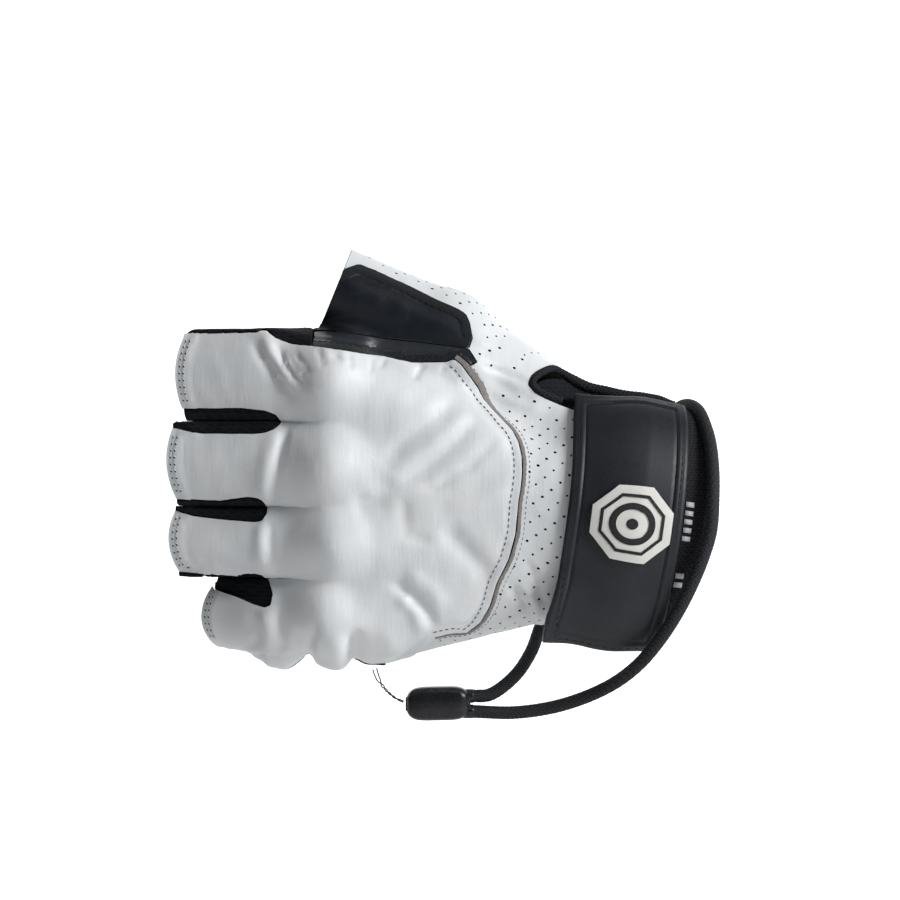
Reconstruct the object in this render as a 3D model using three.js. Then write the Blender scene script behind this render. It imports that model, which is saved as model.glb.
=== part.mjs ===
// A left half-finger glove of white leather, worn, with its wrist strap and leash.
// Millimetres, +Z up. The thumb is up, the fingers point to -X, the back of the hand faces -Y.
// The origin is the centre of the cuff's opening, and the forearm leaves it towards +X.
import * as THREE from "three";

// Driving dimensions, in millimetres.
const SIZE = {
  cell: 5, // mesh cell of the leather
  leather: 1.4, // leather wall
  gap: 0.3, // between neighbouring pieces
  backStep: 0.6, // how far the back panel stands over the cuff
  strapWall: 1.6,
  strapLift: 0.5,
  strapFrom: -38.7, // along the wrist axis, from the opening
  strapTo: -6.5,
  strapStartDeg: 20, // round the wrist: 0 thumb side, 90 back of the hand, 180 little finger side
  strapEndDeg: 170,
  flapFromDeg: 126, // from here to its end the strap stands further off the cuff
  flapLift: 3.4,
  tapeWidth: 7.5, // band that ends the cuff
  tapeBack: 5.5, // how far the cuff's end draws back on the thumb side
  bindingRadius: 1.1, // rolled edge of the wrist slit, which swells along the cuff
  bindingSwell: 0.5,
  edgeWidth: 1.3, // raw edge along the back panel
  cordRadius: 1.9,
  stringRadius: 0.5,
};
const WRIST_AXIS = new THREE.Vector3(0.983, 0.13, -0.13).normalize().toArray();
const NORMAL_STEP = 0.05;

// Rounded cones that make the hand's form: start x y z r, end x y z r, depth squash.
const FINGER_LIMBS = [
  ["index_root", -104, -11, 42.5, 12.8, -122, -7.5, 44, 10.2, 1],
  ["index", -122, -7.5, 44, 10.2, -160, 1, 44.2, 9.8, 0.9],
  ["middle_root", -104, -12, 18.4, 12.6, -122, -8.5, 18.9, 9.7, 1],
  ["middle", -122, -8.5, 18.9, 9.7, -162, 0.8, 19, 9.5, 0.88],
  ["ring_root", -102, -11, -3, 11.5, -122, -7.5, -3.6, 8.2, 1],
  ["ring", -122, -7.5, -3.6, 8.2, -162, 1.5, -3.6, 8, 0.86],
  ["little_root", -104, -7, -24.5, 11.8, -120, -2.5, -26, 9.8, 1],
  ["little", -120, -2.5, -26, 9.8, -150, 9.5, -24.6, 6.4, 0.86],
  ["little_fold", -120, -2, -31.8, 8.4, -117.5, -2, -31.8, 8.4, 1],
  ["edge_fold", -103.5, -3, -31.6, 8.6, -101.5, -3, -31.6, 8.6, 1],
];
const HAND_LIMBS = [
  ["index_bone", -103, -11, 42, 12.6, -44, -6, 14, 14.5, 1],
  ["middle_bone", -103, -12, 18, 12.8, -42, -6, 6, 14.5, 1],
  ["ring_bone", -102, -11, -3, 12.2, -42, -5, -4, 14.5, 1],
  ["little_bone", -104, -7, -24, 12, -44, -3, -11, 15, 1],
  ["palm_edge", -90, 1, -26.6, 12.2, -50, 4, -13.5, 13.5, 1],
];
const THUMB_LIMBS = [
  ["thumb", -116, 1, 75.4, 12.8, -70, 5, 55.8, 13, 1],
  ["thumb_root", -70, 5, 55.8, 13, -36, 4, 26, 16.5, 1],
  ["thumb_pad", -70, 9, 42, 12, -34, 7, 12, 14, 1],
  ["web", -97, -2, 55.5, 6, -66, -1, 46, 11, 1],
  ["web_edge", -113, -2, 50.8, 5.4, -97, -2, 54.5, 6, 1],
];
const WRIST_LIMBS = [["wrist", 25, 3.3, -3.3, 32.6, -18, -2.4, 3.4, 34, 1.47]];
const BLEND = { finger: 1.5, root: 5, hand: 10, thumb: 6, wrist: 8 };

// Finger bands, where neighbours press flat: centre and half width across the hand, then how
// much the lower and the upper side is pressed.
const BANDS = [
  ["index", 44.3, 13, 1, 1],
  ["middle", 19, 12.3, 1, 1],
  ["ring", -3.6, 10.3, 1, 1],
  ["little", -25, 11.1, 0.4, 1],
];
const PRESS = { amount: 0.3, power: 36, from: -106, to: -122 };

// Finger ends: centre, the direction that the finger points, and how far the sides draw back.
const HEMS = [
  ["index", [-146.6, -2, 44.3], [-0.978, 0.208, -0.03], 2.4],
  ["middle", [-149, -2.3, 19], [-0.974, 0.225, -0.06], 2.2],
  ["ring", [-148.9, -1.5, -3.6], [-0.974, 0.225, -0.07], 2.6],
  ["little", [-138.6, 5, -25], [-0.925, 0.36, 0.06], 4],
];
const THUMB_HEM = [[-103, 2, 70.4], [-0.924, -0.05, 0.379]];

// Seams seen from the back of the hand, as x z pairs.
const BACK_TOP = [
  [-125, 56.3], [-123.2, 57.4], [-119.8, 55.1], [-114.5, 53.2], [-104.4, 51.7],
  [-97.5, 50.6], [-89, 49.6], [-80.6, 48.3], [-70.3, 48.5], [-68.1, 49.3],
];
const CUFF_SEAM = [
  [-68.1, 49.3], [-63.2, 43.8], [-59.7, 37.4], [-54.2, 31.1], [-49.6, 24.9], [-48.6, 16.2],
  [-49.6, 8.4], [-50.5, -1.3], [-52.5, -8.6], [-55.8, -15.3], [-57.8, -22], [-60.5, -26.6],
  [-64.5, -29.6], [-69.2, -29.9], [-73.8, -30.9], [-76.5, -33.9], [-81.8, -37.9], [-88.4, -41],
];
const BACK_OUTLINE = [
  [-170, 56.3], ...BACK_TOP, ...CUFF_SEAM.slice(1), [-90, -56], [-170, -56],
  [-170, -17.4], [-137.8, -18.1], [-129.9, -19.6], [-122.8, -22.5], [-120.8, -18.8],
  [-123.5, -13], [-147.3, -12.2], [-170, -12.2],
  [-170, 4.8], [-148.8, 4.8], [-134, 2.7], [-124.2, 2.2], [-122.2, 6.4], [-125, 9.4],
  [-149.1, 8.9], [-170, 8.9],
  [-170, 28.6], [-149.1, 28.6], [-143, 27.6], [-121, 27.8], [-118, 31], [-121.5, 34.4],
  [-129, 35.1], [-170, 35.1],
];
const PATCH_OUTLINE = [
  [-118, 80], [-101.5, 74.6], [-96, 76.8], [-90.5, 74.6], [-82.1, 70.8], [-73.7, 66.7],
  [-67, 63.8], [-63.8, 60], [-62.9, 55.4], [-64, 52.2], [-76, 54], [-90, 55.5], [-104.5, 57.1],
  [-118, 58],
];
const WEB_OUTLINE = [
  [-112, 57.5], [-104.5, 57.1], [-90, 55.5], [-76, 54], [-64, 52.2], [-61.5, 48.2],
  [-68.1, 46], [-112, 46],
];
const SLIT_OUTLINE = [
  [-45.5, 42.1], [-44.7, 43.9], [-42, 45.3], [-38.6, 45.8], [-31.9, 45.2], [-25.2, 43.8],
  [-12.2, 41.2], [8, 39.2], [8, 30], [-12, 32], [-30, 34.5], [-37, 37], [-41.4, 38.9],
  [-44, 40.4],
];
// Depth of the line where the back leather turns over to the palm, by x.
const TURN = [[-170, 6], [-146, 1], [-122, -5], [-104, -8], [-85, -6], [-62, -2], [-50, 1], [10, 3]];

// Levels over the leather's face, outer and inner, for each piece of the shell.
const LEVELS = {
  back_panel: [SIZE.backStep, SIZE.backStep - 1.5],
  wrist_panel: [0, -SIZE.leather],
  palm_panel: [0, -SIZE.leather],
  thumb_patch: [0.5, -0.9],
  index_side: [-0.2, -1.4],
  fourchette_1: [-0.6, -1.6],
  fourchette_2: [-0.6, -1.6],
  fourchette_3: [-0.7, -1.6],
  slit_gusset: [-0.9, -2],
};

// The leash: centre line round the wrist, as x y z rows.
const LEASH_LINE = [
  [-63, 0.4, -49.2], [-57.7, 1.5, -48.9], [-50.5, 4.5, -43.9], [-45.5, 10, -37.2], [-42, 18, -29],
  [-35, 27.5, -14], [-23, 30, 2], [-13, 28.4, 16], [-6, 19.5, 30], [-0.6, 6, 35.9],
  [2.8, -5, 34.6], [4.6, -13, 29.6], [5.6, -18.6, 24], [6, -22.6, 16.6], [5.8, -25.2, 9],
  [5.1, -26.2, 0], [3, -26, -7.4], [0, -25, -15], [-4.2, -23, -23.6],
  [-9.4, -19.8, -32], [-15.8, -13.6, -40], [-24.6, -5.4, -46.8], [-37, -1.6, -51.8], [-50, 0, -54],
  [-63, 0, -53.7],
];
const STRING_LINE = [
  [-82.9, 0, -50.9], [-85.4, 0, -49.7], [-87.9, 0.2, -47.6], [-90, 0.8, -44.9], [-91.1, 1.6, -42.4],
  [-91.4, 2.2, -41.4],
];
// Middle line of the slit's rolled edge, and of the tab on the little finger side.
const SLIT_LINE = [
  [-36.7, -14, 37], [-41.4, -13, 38.9], [-44, -12.5, 40.4], [-45.2, -11.4, 42.1],
  [-44.6, -8.5, 44], [-42, -5, 45.4], [-38.6, -2, 46.4], [-33, -1.1, 45], [-25.2, -1.1, 42.4],
  [-18.3, -1.1, 40], [-15, -1.1, 39], [-12.3, -1.1, 38.5],
];
const TAB_LINE = [[-97.5, -3, -36], [-94.5, -2.4, -37.5], [-91.5, -1.6, -39], [-88.5, -1, -39.6]];
// The slider: distance from its middle and share of its full section.
const SLIDER = { centre: [-72.8, 0, -51.3], height: 10, depth: 8.4, tilt: 0.02 };
const SLIDER_SECTIONS = [
  [-9.5, 0.5], [-9, 0.76], [-7.6, 0.94], [-5, 1], [5, 1], [7.6, 0.94], [9, 0.76], [9.5, 0.5],
];
// The badge: middle along and round the wrist, and its outline round that middle.
const BADGE = { along: -20.7, degrees: 92, radius: 12.2, wall: 0.9, lift: 0.45 };

const add = (a, b, s = 1) => [a[0] + b[0] * s, a[1] + b[1] * s, a[2] + b[2] * s];
const dot = (a, b) => a[0] * b[0] + a[1] * b[1] + a[2] * b[2];
const cross = (a, b) => [
  a[1] * b[2] - a[2] * b[1],
  a[2] * b[0] - a[0] * b[2],
  a[0] * b[1] - a[1] * b[0],
];
const unit = (a) => {
  const l = Math.hypot(...a) || 1;
  return [a[0] / l, a[1] / l, a[2] / l];
};
const clamp = (v, lo, hi) => Math.min(hi, Math.max(lo, v));
const smoothstep = (from, to, v) => {
  const t = clamp((v - from) / (to - from), 0, 1);
  return t * t * (3 - 2 * t);
};
const smoothMin = (a, b, k) => {
  const h = Math.max(k - Math.abs(a - b), 0) / k;
  return Math.min(a, b) - h * h * k * 0.25;
};
const alongTable = (table, x) => {
  for (let i = 1; i < table.length; i++) {
    const [x0, y0] = table[i - 1];
    const [x1, y1] = table[i];
    if (x <= x1) return y0 + (y1 - y0) * clamp((x - x0) / (x1 - x0), 0, 1);
  }
  return table[table.length - 1][1];
};

function limbDistance(p, [, x1, y1, z1, r1, x2, y2, z2, r2, squash]) {
  const d = [x2 - x1, y2 - y1, z2 - z1];
  const rel = [p[0] - x1, p[1] - y1, p[2] - z1];
  const t = clamp(dot(rel, d) / dot(d, d), 0, 1);
  return Math.hypot(rel[0] - d[0] * t, (rel[1] - d[1] * t) * squash, rel[2] - d[2] * t)
    - (r1 + (r2 - r1) * t);
}
const group = (p, limbs, k) =>
  limbs.map((l) => limbDistance(p, l)).reduce((a, b) => smoothMin(a, b, k));

// Distance to the leather's face, with the fingers not yet pressed together.
function openField(p) {
  const fingers = group(p, FINGER_LIMBS, BLEND.finger);
  let all = smoothMin(group(p, HAND_LIMBS, BLEND.hand), fingers, BLEND.root);
  const past = dot(add(p, THUMB_HEM[0], -1), THUMB_HEM[1]) - 5;
  const thumb = Math.max(group(p, THUMB_LIMBS, BLEND.thumb), past);
  all = smoothMin(all, thumb, BLEND.thumb);
  return smoothMin(all, group(p, WRIST_LIMBS, BLEND.wrist), BLEND.wrist);
}

// Pressing the fingers flat against each other moves a point across the hand, inside its band.
const pressAt = (x) => PRESS.amount * smoothstep(PRESS.from, PRESS.to, x);
function unpress([x, y, z]) {
  const band = BANDS.find(([, c, half]) => Math.abs(z - c) < half);
  if (!band) return [x, y, z];
  const b = pressAt(x) * (z < band[1] ? band[3] : band[4]);
  const v = (z - band[1]) / band[2];
  return [x, y, band[1] + band[2] * v * (1 - b * (1 - Math.abs(v) ** PRESS.power))];
}
function press([x, y, z]) {
  const band = BANDS.find(([, c, half]) => Math.abs(z - c) < half);
  if (!pressAt(x) || !band) return [x, y, z];
  let lo = band[1] - band[2];
  let hi = band[1] + band[2];
  for (let i = 0; i < 40; i++) {
    const mid = (lo + hi) / 2;
    if (unpress([x, y, mid])[2] < z) lo = mid;
    else hi = mid;
  }
  return [x, y, (lo + hi) / 2];
}
const field = (p) => openField(unpress(p));
function slope(f, p) {
  const e = NORMAL_STEP;
  return [0, 1, 2].map((i) => {
    const up = [...p];
    const down = [...p];
    up[i] += e;
    down[i] -= e;
    return (f(up) - f(down)) / (2 * e);
  });
}
const normalAt = (p) => unit(slope(field, p));
function settle(p, f = field, level = 0) {
  let q = p;
  for (let i = 0; i < 8; i++) {
    const g = slope(f, q);
    const step = clamp((f(q) - level) / Math.max(dot(g, g), 0.05), -2, 2);
    q = add(q, g, -step);
  }
  return q;
}

// Surface nets: one vertex in each cell that the face crosses.
function skin(f, lo, hi, cell) {
  const n = [0, 1, 2].map((i) => Math.ceil((hi[i] - lo[i]) / cell) + 1);
  const at = (i, j, k) => [lo[0] + i * cell, lo[1] + j * cell, lo[2] + k * cell];
  const id = (i, j, k) => (i * n[1] + j) * n[2] + k;
  const value = new Float64Array(n[0] * n[1] * n[2]);
  for (let i = 0; i < n[0]; i++)
    for (let j = 0; j < n[1]; j++)
      for (let k = 0; k < n[2]; k++) value[id(i, j, k)] = f(at(i, j, k));
  const corners = [0, 1, 2, 3, 4, 5, 6, 7].map((c) => [c & 1, (c >> 1) & 1, (c >> 2) & 1]);
  const edges = [];
  corners.forEach((a, ia) => corners.forEach((b, ib) => {
    if (ia < ib && Math.abs(a[0] - b[0]) + Math.abs(a[1] - b[1]) + Math.abs(a[2] - b[2]) === 1)
      edges.push([a, b]);
  }));
  const cellVertex = new Map();
  const points = [];
  for (let i = 0; i < n[0] - 1; i++)
    for (let j = 0; j < n[1] - 1; j++)
      for (let k = 0; k < n[2] - 1; k++) {
        let sum = [0, 0, 0];
        let count = 0;
        for (const [a, b] of edges) {
          const va = value[id(i + a[0], j + a[1], k + a[2])];
          const vb = value[id(i + b[0], j + b[1], k + b[2])];
          if (va < 0 === vb < 0) continue;
          const t = va / (va - vb);
          sum = add(sum, [0, 1, 2].map((m) => a[m] + (b[m] - a[m]) * t));
          count++;
        }
        if (!count) continue;
        cellVertex.set(id(i, j, k), points.length);
        points.push(settle(add(at(i, j, k), sum, cell / count), f));
      }
  const faces = [];
  for (let i = 1; i < n[0] - 1; i++)
    for (let j = 1; j < n[1] - 1; j++)
      for (let k = 1; k < n[2] - 1; k++) {
        const here = value[id(i, j, k)] < 0;
        for (const axis of [0, 1, 2]) {
          const step = [0, 1, 2].map((m) => (m === axis ? 1 : 0));
          if (here === value[id(i + step[0], j + step[1], k + step[2])] < 0) continue;
          const u = (axis + 1) % 3;
          const w = (axis + 2) % 3;
          const quad = [[0, 0], [1, 0], [1, 1], [0, 1]].map(([a, b]) => {
            const c = [i, j, k];
            c[u] -= a;
            c[w] -= b;
            return cellVertex.get(id(...c));
          });
          if (!here) quad.reverse();
          const [a, b, c, d] = quad;
          const ac = Math.hypot(...add(points[a], points[c], -1));
          const bd = Math.hypot(...add(points[b], points[d], -1));
          if (ac < bd) faces.push([a, b, c], [a, c, d]);
          else faces.push([a, b, d], [b, c, d]);
        }
      }
  return { points, faces, seams: {}, locked: points.map(() => false) };
}

// Splits the mesh along the line where f is 0, moving near vertices onto the line.
function splitAlong(mesh, name, f, reach) {
  const { points, locked } = mesh;
  const value = points.map((p) => f(p));
  points.forEach((p, i) => {
    if (Math.abs(value[i]) > reach) return;
    if (!locked[i]) {
      let q = p;
      for (let n = 0; n < 3; n++) {
        const g = slope(f, q);
        const size = Math.max(dot(g, g), 0.2);
        q = settle(add(q, g, -clamp(f(q) / size, -reach, reach)));
      }
      if (Math.hypot(...add(q, p, -1)) > 1.6 * reach) return;
      points[i] = q;
      locked[i] = true;
    }
    value[i] = 0;
  });
  mesh.seams[name] = value;
  const made = new Map();
  const cut = (a, b) => {
    const key = a < b ? a + "_" + b : b + "_" + a;
    if (made.has(key)) return made.get(key);
    const t = value[a] / (value[a] - value[b]);
    const index = points.length;
    points.push(settle(add(points[a], add(points[b], points[a], -1), t)));
    locked.push(true);
    for (const other of Object.keys(mesh.seams)) {
      const v = mesh.seams[other];
      v.push(v === value ? 0 : v[a] + (v[b] - v[a]) * t);
    }
    made.set(key, index);
    return index;
  };
  const faces = [];
  for (const face of mesh.faces) {
    const sign = face.map((i) => Math.sign(value[i]));
    if (!(sign.includes(1) && sign.includes(-1))) {
      faces.push(face);
      continue;
    }
    const zero = sign.indexOf(0);
    if (zero >= 0) {
      const [a, b, c] = [0, 1, 2].map((k) => face[(zero + k) % 3]);
      const m = cut(b, c);
      faces.push([a, b, m], [a, m, c]);
      continue;
    }
    const lone = sign.findIndex((s) => sign.filter((t) => t === s).length === 1);
    const [a, b, c] = [0, 1, 2].map((k) => face[(lone + k) % 3]);
    const ab = cut(a, b);
    const ca = cut(c, a);
    faces.push([a, ab, ca], [ab, b, ca], [b, c, ca]);
  }
  mesh.faces = faces;
}

// Signed distance to an outline in x z, positive inside.
function inside(outline, x, z) {
  let best = Infinity;
  let odd = false;
  for (let i = 0, j = outline.length - 1; i < outline.length; j = i++) {
    const [x0, z0] = outline[j];
    const [x1, z1] = outline[i];
    const t = clamp(((x - x0) * (x1 - x0) + (z - z0) * (z1 - z0))
      / ((x1 - x0) ** 2 + (z1 - z0) ** 2 || 1), 0, 1);
    best = Math.min(best, Math.hypot(x - x0 - (x1 - x0) * t, z - z0 - (z1 - z0) * t));
    if (z0 > z !== z1 > z && x < ((x1 - x0) * (z - z0)) / (z1 - z0) + x0) odd = !odd;
  }
  return odd ? best : -best;
}
const turnAt = ([x, , z]) => alongTable(TURN, x) + 5 * smoothstep(-12, -24, z)
  + 9 * smoothstep(50, 62, z) * smoothstep(-120, -105, x);
const alongWrist = (p) => dot(p, WRIST_AXIS);

const SEAMS = {
  hems: (p) => {
    const ends = HEMS.map(([, c, d, bow], i) => {
      const [, middle, half] = BANDS[i];
      const past = dot(add(c, p, -1), d) - bow * Math.min(Math.abs(p[2] - middle) / half, 0.8) ** 2;
      return Math.max(past, 1.2 * (Math.abs(p[2] - middle) - half - 1));
    });
    return Math.min(...ends);
  },
  thumbHem: ([x, y, z]) => Math.max(dot(add(THUMB_HEM[0], [x, y, z], -1), THUMB_HEM[1]), 58 - z),
  cuffEnd: (p) => -SIZE.tapeWidth - endBack(degreesOf(p)) - alongWrist(p),
  back: (p) => Math.min(inside(BACK_OUTLINE, p[0], p[2]), turnAt(p) - p[1]),
  patch: (p) => Math.min(inside(PATCH_OUTLINE, p[0], p[2]), turnAt(p) - p[1]),
  web: (p) => Math.min(inside(WEB_OUTLINE, p[0], p[2]), turnAt(p) - p[1]),
  slitRim: (p) => Math.min(inside(SLIT_OUTLINE, p[0], p[2]) + 2.3, 1.5 - p[1]),
  slit: (p) => Math.min(inside(SLIT_OUTLINE, p[0], p[2]) - 1.6, -2.8 - p[1]),
  palm: (p) => p[1] - turnAt(p) - 4,
  fingers: (p) => -109 - p[0],
};
const GUSSET_Z = [["index_side", 44.3], ["fourchette_1", 19], ["fourchette_2", -3.6],
  ["fourchette_3", -26]];

function pieceOf(sign, centre) {
  if (sign.hems < 0 || sign.thumbHem < 0 || sign.cuffEnd < 0) return null;
  if (sign.back > 0) return "back_panel";
  if (sign.patch > 0) return "thumb_patch";
  if (sign.slit > 0) return "slit_gusset";
  if (sign.slitRim > 0) return null;
  if (sign.palm > 0) return "palm_panel";
  if (sign.fingers > 0) {
    const row = GUSSET_Z.find(([, z]) => centre[2] > z);
    return row ? row[0] : "palm_panel";
  }
  if (sign.web > 0) return "palm_panel";
  const crotch = 52 + 6 * smoothstep(-92, -102, centre[0]);
  if (centre[0] < -88 && centre[2] < crotch) return "palm_panel";
  return "wrist_panel";
}

// The largest connected set of faces, with corners that only touch taken apart.
function largestPatch(faces) {
  const byEdge = new Map();
  faces.forEach((f, i) => f.forEach((a, k) => {
    const b = f[(k + 1) % 3];
    const key = a < b ? a + "_" + b : b + "_" + a;
    byEdge.set(key, [...(byEdge.get(key) || []), i]);
  }));
  const seen = new Set();
  let best = [];
  faces.forEach((_, start) => {
    if (seen.has(start)) return;
    const patch = [];
    const stack = [start];
    seen.add(start);
    while (stack.length) {
      const i = stack.pop();
      patch.push(i);
      faces[i].forEach((a, k) => {
        const b = faces[i][(k + 1) % 3];
        for (const j of byEdge.get(a < b ? a + "_" + b : b + "_" + a)) {
          if (seen.has(j)) continue;
          seen.add(j);
          stack.push(j);
        }
      });
    }
    if (patch.length > best.length) best = patch;
  });
  return best.map((i) => faces[i]);
}

// A closed wall from a patch: its rim drawn in by half a gap, its faces moved out and in.
function wall(mesh, allFaces, [outer, inner]) {
  const faces = splitTouching(largestPatch(allFaces));
  const points = faces.points.map((i) => mesh.points[i]);
  const normals = faces.points.map((i) => mesh.normals[i]);
  const next = new Map();
  const directed = new Set(faces.faces.flatMap(([a, b, c]) => [a + "_" + b, b + "_" + c,
    c + "_" + a]));
  for (const edge of directed) {
    const [a, b] = edge.split("_").map(Number);
    if (!directed.has(b + "_" + a)) next.set(a, b);
  }
  const before = new Map([...next].map(([a, b]) => [b, a]));
  const drawn = points.map((p, i) => {
    if (!next.has(i)) return p;
    const n = normals[i];
    const e1 = unit(add(p, points[before.get(i)], -1));
    const e2 = unit(add(points[next.get(i)], p, -1));
    const i1 = cross(n, e1);
    const i2 = cross(n, e2);
    const mid = unit(add(i1, i2));
    const grow = 1 / Math.max(0.5, dot(mid, unit(i2)));
    return add(p, mid, (SIZE.gap / 2) * Math.min(grow, 1.8));
  });
  const out = [];
  drawn.forEach((p, i) => out.push(add(p, normals[i], outer)));
  drawn.forEach((p, i) => out.push(add(p, normals[i], inner)));
  const n = points.length;
  const tris = [];
  for (const [a, b, c] of faces.faces) tris.push([a, b, c], [a + n, c + n, b + n]);
  for (const [a, b] of next) tris.push([b, a, a + n], [b, a + n, b + n]);
  return { points: out, faces: tris };
}

// Renumbers a patch, giving each fan of faces round a vertex its own copy.
function splitTouching(faces) {
  const around = new Map();
  faces.forEach((f, i) => f.forEach((v) => around.set(v, [...(around.get(v) || []), i])));
  const points = [];
  const renamed = faces.map((f) => [...f]);
  for (const [v, list] of around) {
    const left = new Set(list);
    while (left.size) {
      const stack = [left.values().next().value];
      left.delete(stack[0]);
      const index = points.length;
      points.push(v);
      while (stack.length) {
        const i = stack.pop();
        renamed[i][faces[i].indexOf(v)] = index;
        for (const j of [...left]) {
          const shared = faces[j].filter((w) => w !== v && faces[i].includes(w));
          if (!shared.length) continue;
          left.delete(j);
          stack.push(j);
        }
      }
    }
  }
  return { points, faces: renamed };
}

function meshOf(name, { points, faces }, colour) {
  const geometry = new THREE.BufferGeometry();
  geometry.setAttribute("position", new THREE.Float32BufferAttribute(points.flat(), 3));
  geometry.setIndex(faces.flat());
  geometry.computeVertexNormals();
  const material = new THREE.MeshStandardMaterial({ color: colour, flatShading: true });
  const mesh = new THREE.Mesh(geometry, material);
  mesh.name = name;
  return mesh;
}

// A closed tube or bar: a ring of profile points carried along frames.
function sweep(frames, profile, closed = false) {
  const points = [];
  const faces = [];
  const m = profile.length;
  for (const { p, side, up } of frames)
    for (const [u, v] of profile) points.push(add(add(p, side, u), up, v));
  const rings = frames.length;
  const spans = closed ? rings : rings - 1;
  for (let i = 0; i < spans; i++)
    for (let j = 0; j < m; j++) {
      const a = i * m + j;
      const b = i * m + ((j + 1) % m);
      const c = ((i + 1) % rings) * m + j;
      const d = ((i + 1) % rings) * m + ((j + 1) % m);
      faces.push([a, b, c], [b, d, c]);
    }
  if (!closed)
    for (let j = 1; j < m - 1; j++) {
      faces.push([0, j + 1, j]);
      const e = (rings - 1) * m;
      faces.push([e, e + j, e + j + 1]);
    }
  return { points, faces };
}
const circle = (r, n) => Array.from({ length: n }, (_, i) => {
  const a = (2 * Math.PI * i) / n;
  return [r * Math.cos(a), r * Math.sin(a)];
});
const bar = (width, lo, hi) => [[-width / 2, lo], [width / 2, lo], [width / 2, hi],
  [-width / 2, hi]];

function spline(rows, count) {
  const curve = new THREE.CatmullRomCurve3(rows.map((r) => new THREE.Vector3(...r)), false,
    "centripetal");
  return curve.getSpacedPoints(count).map((v) => v.toArray());
}
// Frames along a free line, turned as little as possible from one to the next.
function freeFrames(line) {
  const frames = [];
  let side = null;
  line.forEach((p, i) => {
    const along = unit(add(line[Math.min(i + 1, line.length - 1)], line[Math.max(i - 1, 0)], -1));
    const seed = side || (Math.abs(along[1]) < 0.8 ? [0, 1, 0] : [1, 0, 0]);
    side = unit(add(seed, along, -dot(seed, along)));
    frames.push({ p, side, up: cross(along, side) });
  });
  return frames;
}
// Frames along a line laid on the leather, up along the leather's normal.
function surfaceFrames(line) {
  return line.map((p, i) => {
    const along = unit(add(line[Math.min(i + 1, line.length - 1)], line[Math.max(i - 1, 0)], -1));
    const up = normalAt(p);
    return { p, side: unit(cross(up, along)), up };
  });
}
// A line of x z pairs put onto the face that looks towards the back of the hand.
function onBack(rows, count, start = -40) {
  const flat = spline(rows.map(([x, z]) => [x, 0, z]), count);
  return flat.map(([x, , z]) => ontoFront([x, start, z]));
}
function ontoFront([x, start, z]) {
  let y = start;
  for (let i = 0; i < 60; i++) y += clamp(field([x, y, z]) * 0.7, 0, 3);
  return [x, y, z];
}

// Wrist coordinates: along the axis, then round it.
const [WX, WY, WZ] = (() => {
  const z = unit(add([0, 0, 1], WRIST_AXIS, -WRIST_AXIS[2]));
  return [WRIST_AXIS, cross(z, WRIST_AXIS), z];
})();
const degreesOf = (p) => (Math.atan2(-dot(p, WY), dot(p, WZ)) * 180) / Math.PI;
// How far the cuff's end draws back at an angle round the wrist.
const endBack = (degrees) => {
  const turn = Math.abs(((degrees + 180) % 360) - 180);
  return SIZE.tapeBack * smoothstep(75, 20, turn);
};
function onWrist(s, degrees) {
  const a = (degrees * Math.PI) / 180;
  const way = add(WZ, [0, 0, 0]).map((v, i) => v * Math.cos(a) - WY[i] * Math.sin(a));
  const start = WX.map((v) => v * s);
  let r = 60;
  for (let i = 0; i < 80; i++) r -= clamp(field(add(start, way, r)) * 0.55, -2, 3);
  return add(start, way, r);
}
function band(s0, s1, from, to, nAlong, nRound, lo, hi, closed = false, lift = () => 0,
  back = () => 0) {
  const points = [];
  const faces = [];
  const rows = closed ? nRound : nRound + 1;
  const grid = [];
  for (let j = 0; j < rows; j++)
    for (let i = 0; i <= nAlong; i++) {
      const degrees = from + ((to - from) * j) / nRound;
      const p = onWrist(s0 + ((s1 - s0) * i) / nAlong - back(degrees), degrees);
      const n = normalAt(p);
      grid.push({ p: add(p, n, lift(degrees)), n });
    }
  for (const level of [hi, lo]) for (const { p, n } of grid) points.push(add(p, n, level));
  const w = nAlong + 1;
  const half = grid.length;
  const at = (i, j) => (j % rows) * w + i;
  const spans = closed ? nRound : nRound;
  for (let j = 0; j < spans; j++) {
    for (let i = 0; i < nAlong; i++) {
      const [a, b, c, d] = [at(i, j), at(i + 1, j), at(i + 1, j + 1), at(i, j + 1)];
      faces.push([a, c, b], [a, d, c], [a + half, b + half, c + half],
        [a + half, c + half, d + half]);
    }
    const [a, d] = [at(0, j), at(0, j + 1)];
    const [b, c] = [at(nAlong, j), at(nAlong, j + 1)];
    faces.push([a, a + half, d], [d, a + half, d + half]);
    faces.push([b, c, b + half], [c, c + half, b + half]);
  }
  if (!closed)
    for (let i = 0; i < nAlong; i++) {
      const [a, b] = [at(i, 0), at(i + 1, 0)];
      const [c, d] = [at(i, nRound), at(i + 1, nRound)];
      faces.push([a, b, a + half], [b, b + half, a + half]);
      faces.push([c, c + half, d], [d, c + half, d + half]);
    }
  return { points, faces };
}
function flipped({ points, faces }) {
  return { points, faces: faces.map(([a, b, c]) => [a, c, b]) };
}
function volumeOf({ points, faces }) {
  return faces.reduce((v, [a, b, c]) => v + dot(points[a], cross(points[b], points[c])), 0) / 6;
}
const facingOut = (solid) => (volumeOf(solid) < 0 ? flipped(solid) : solid);

const glove = new THREE.Group();
glove.name = "fingerless_glove";
const put = (name, solid, colour) => glove.add(meshOf(name, facingOut(solid), colour));

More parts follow.
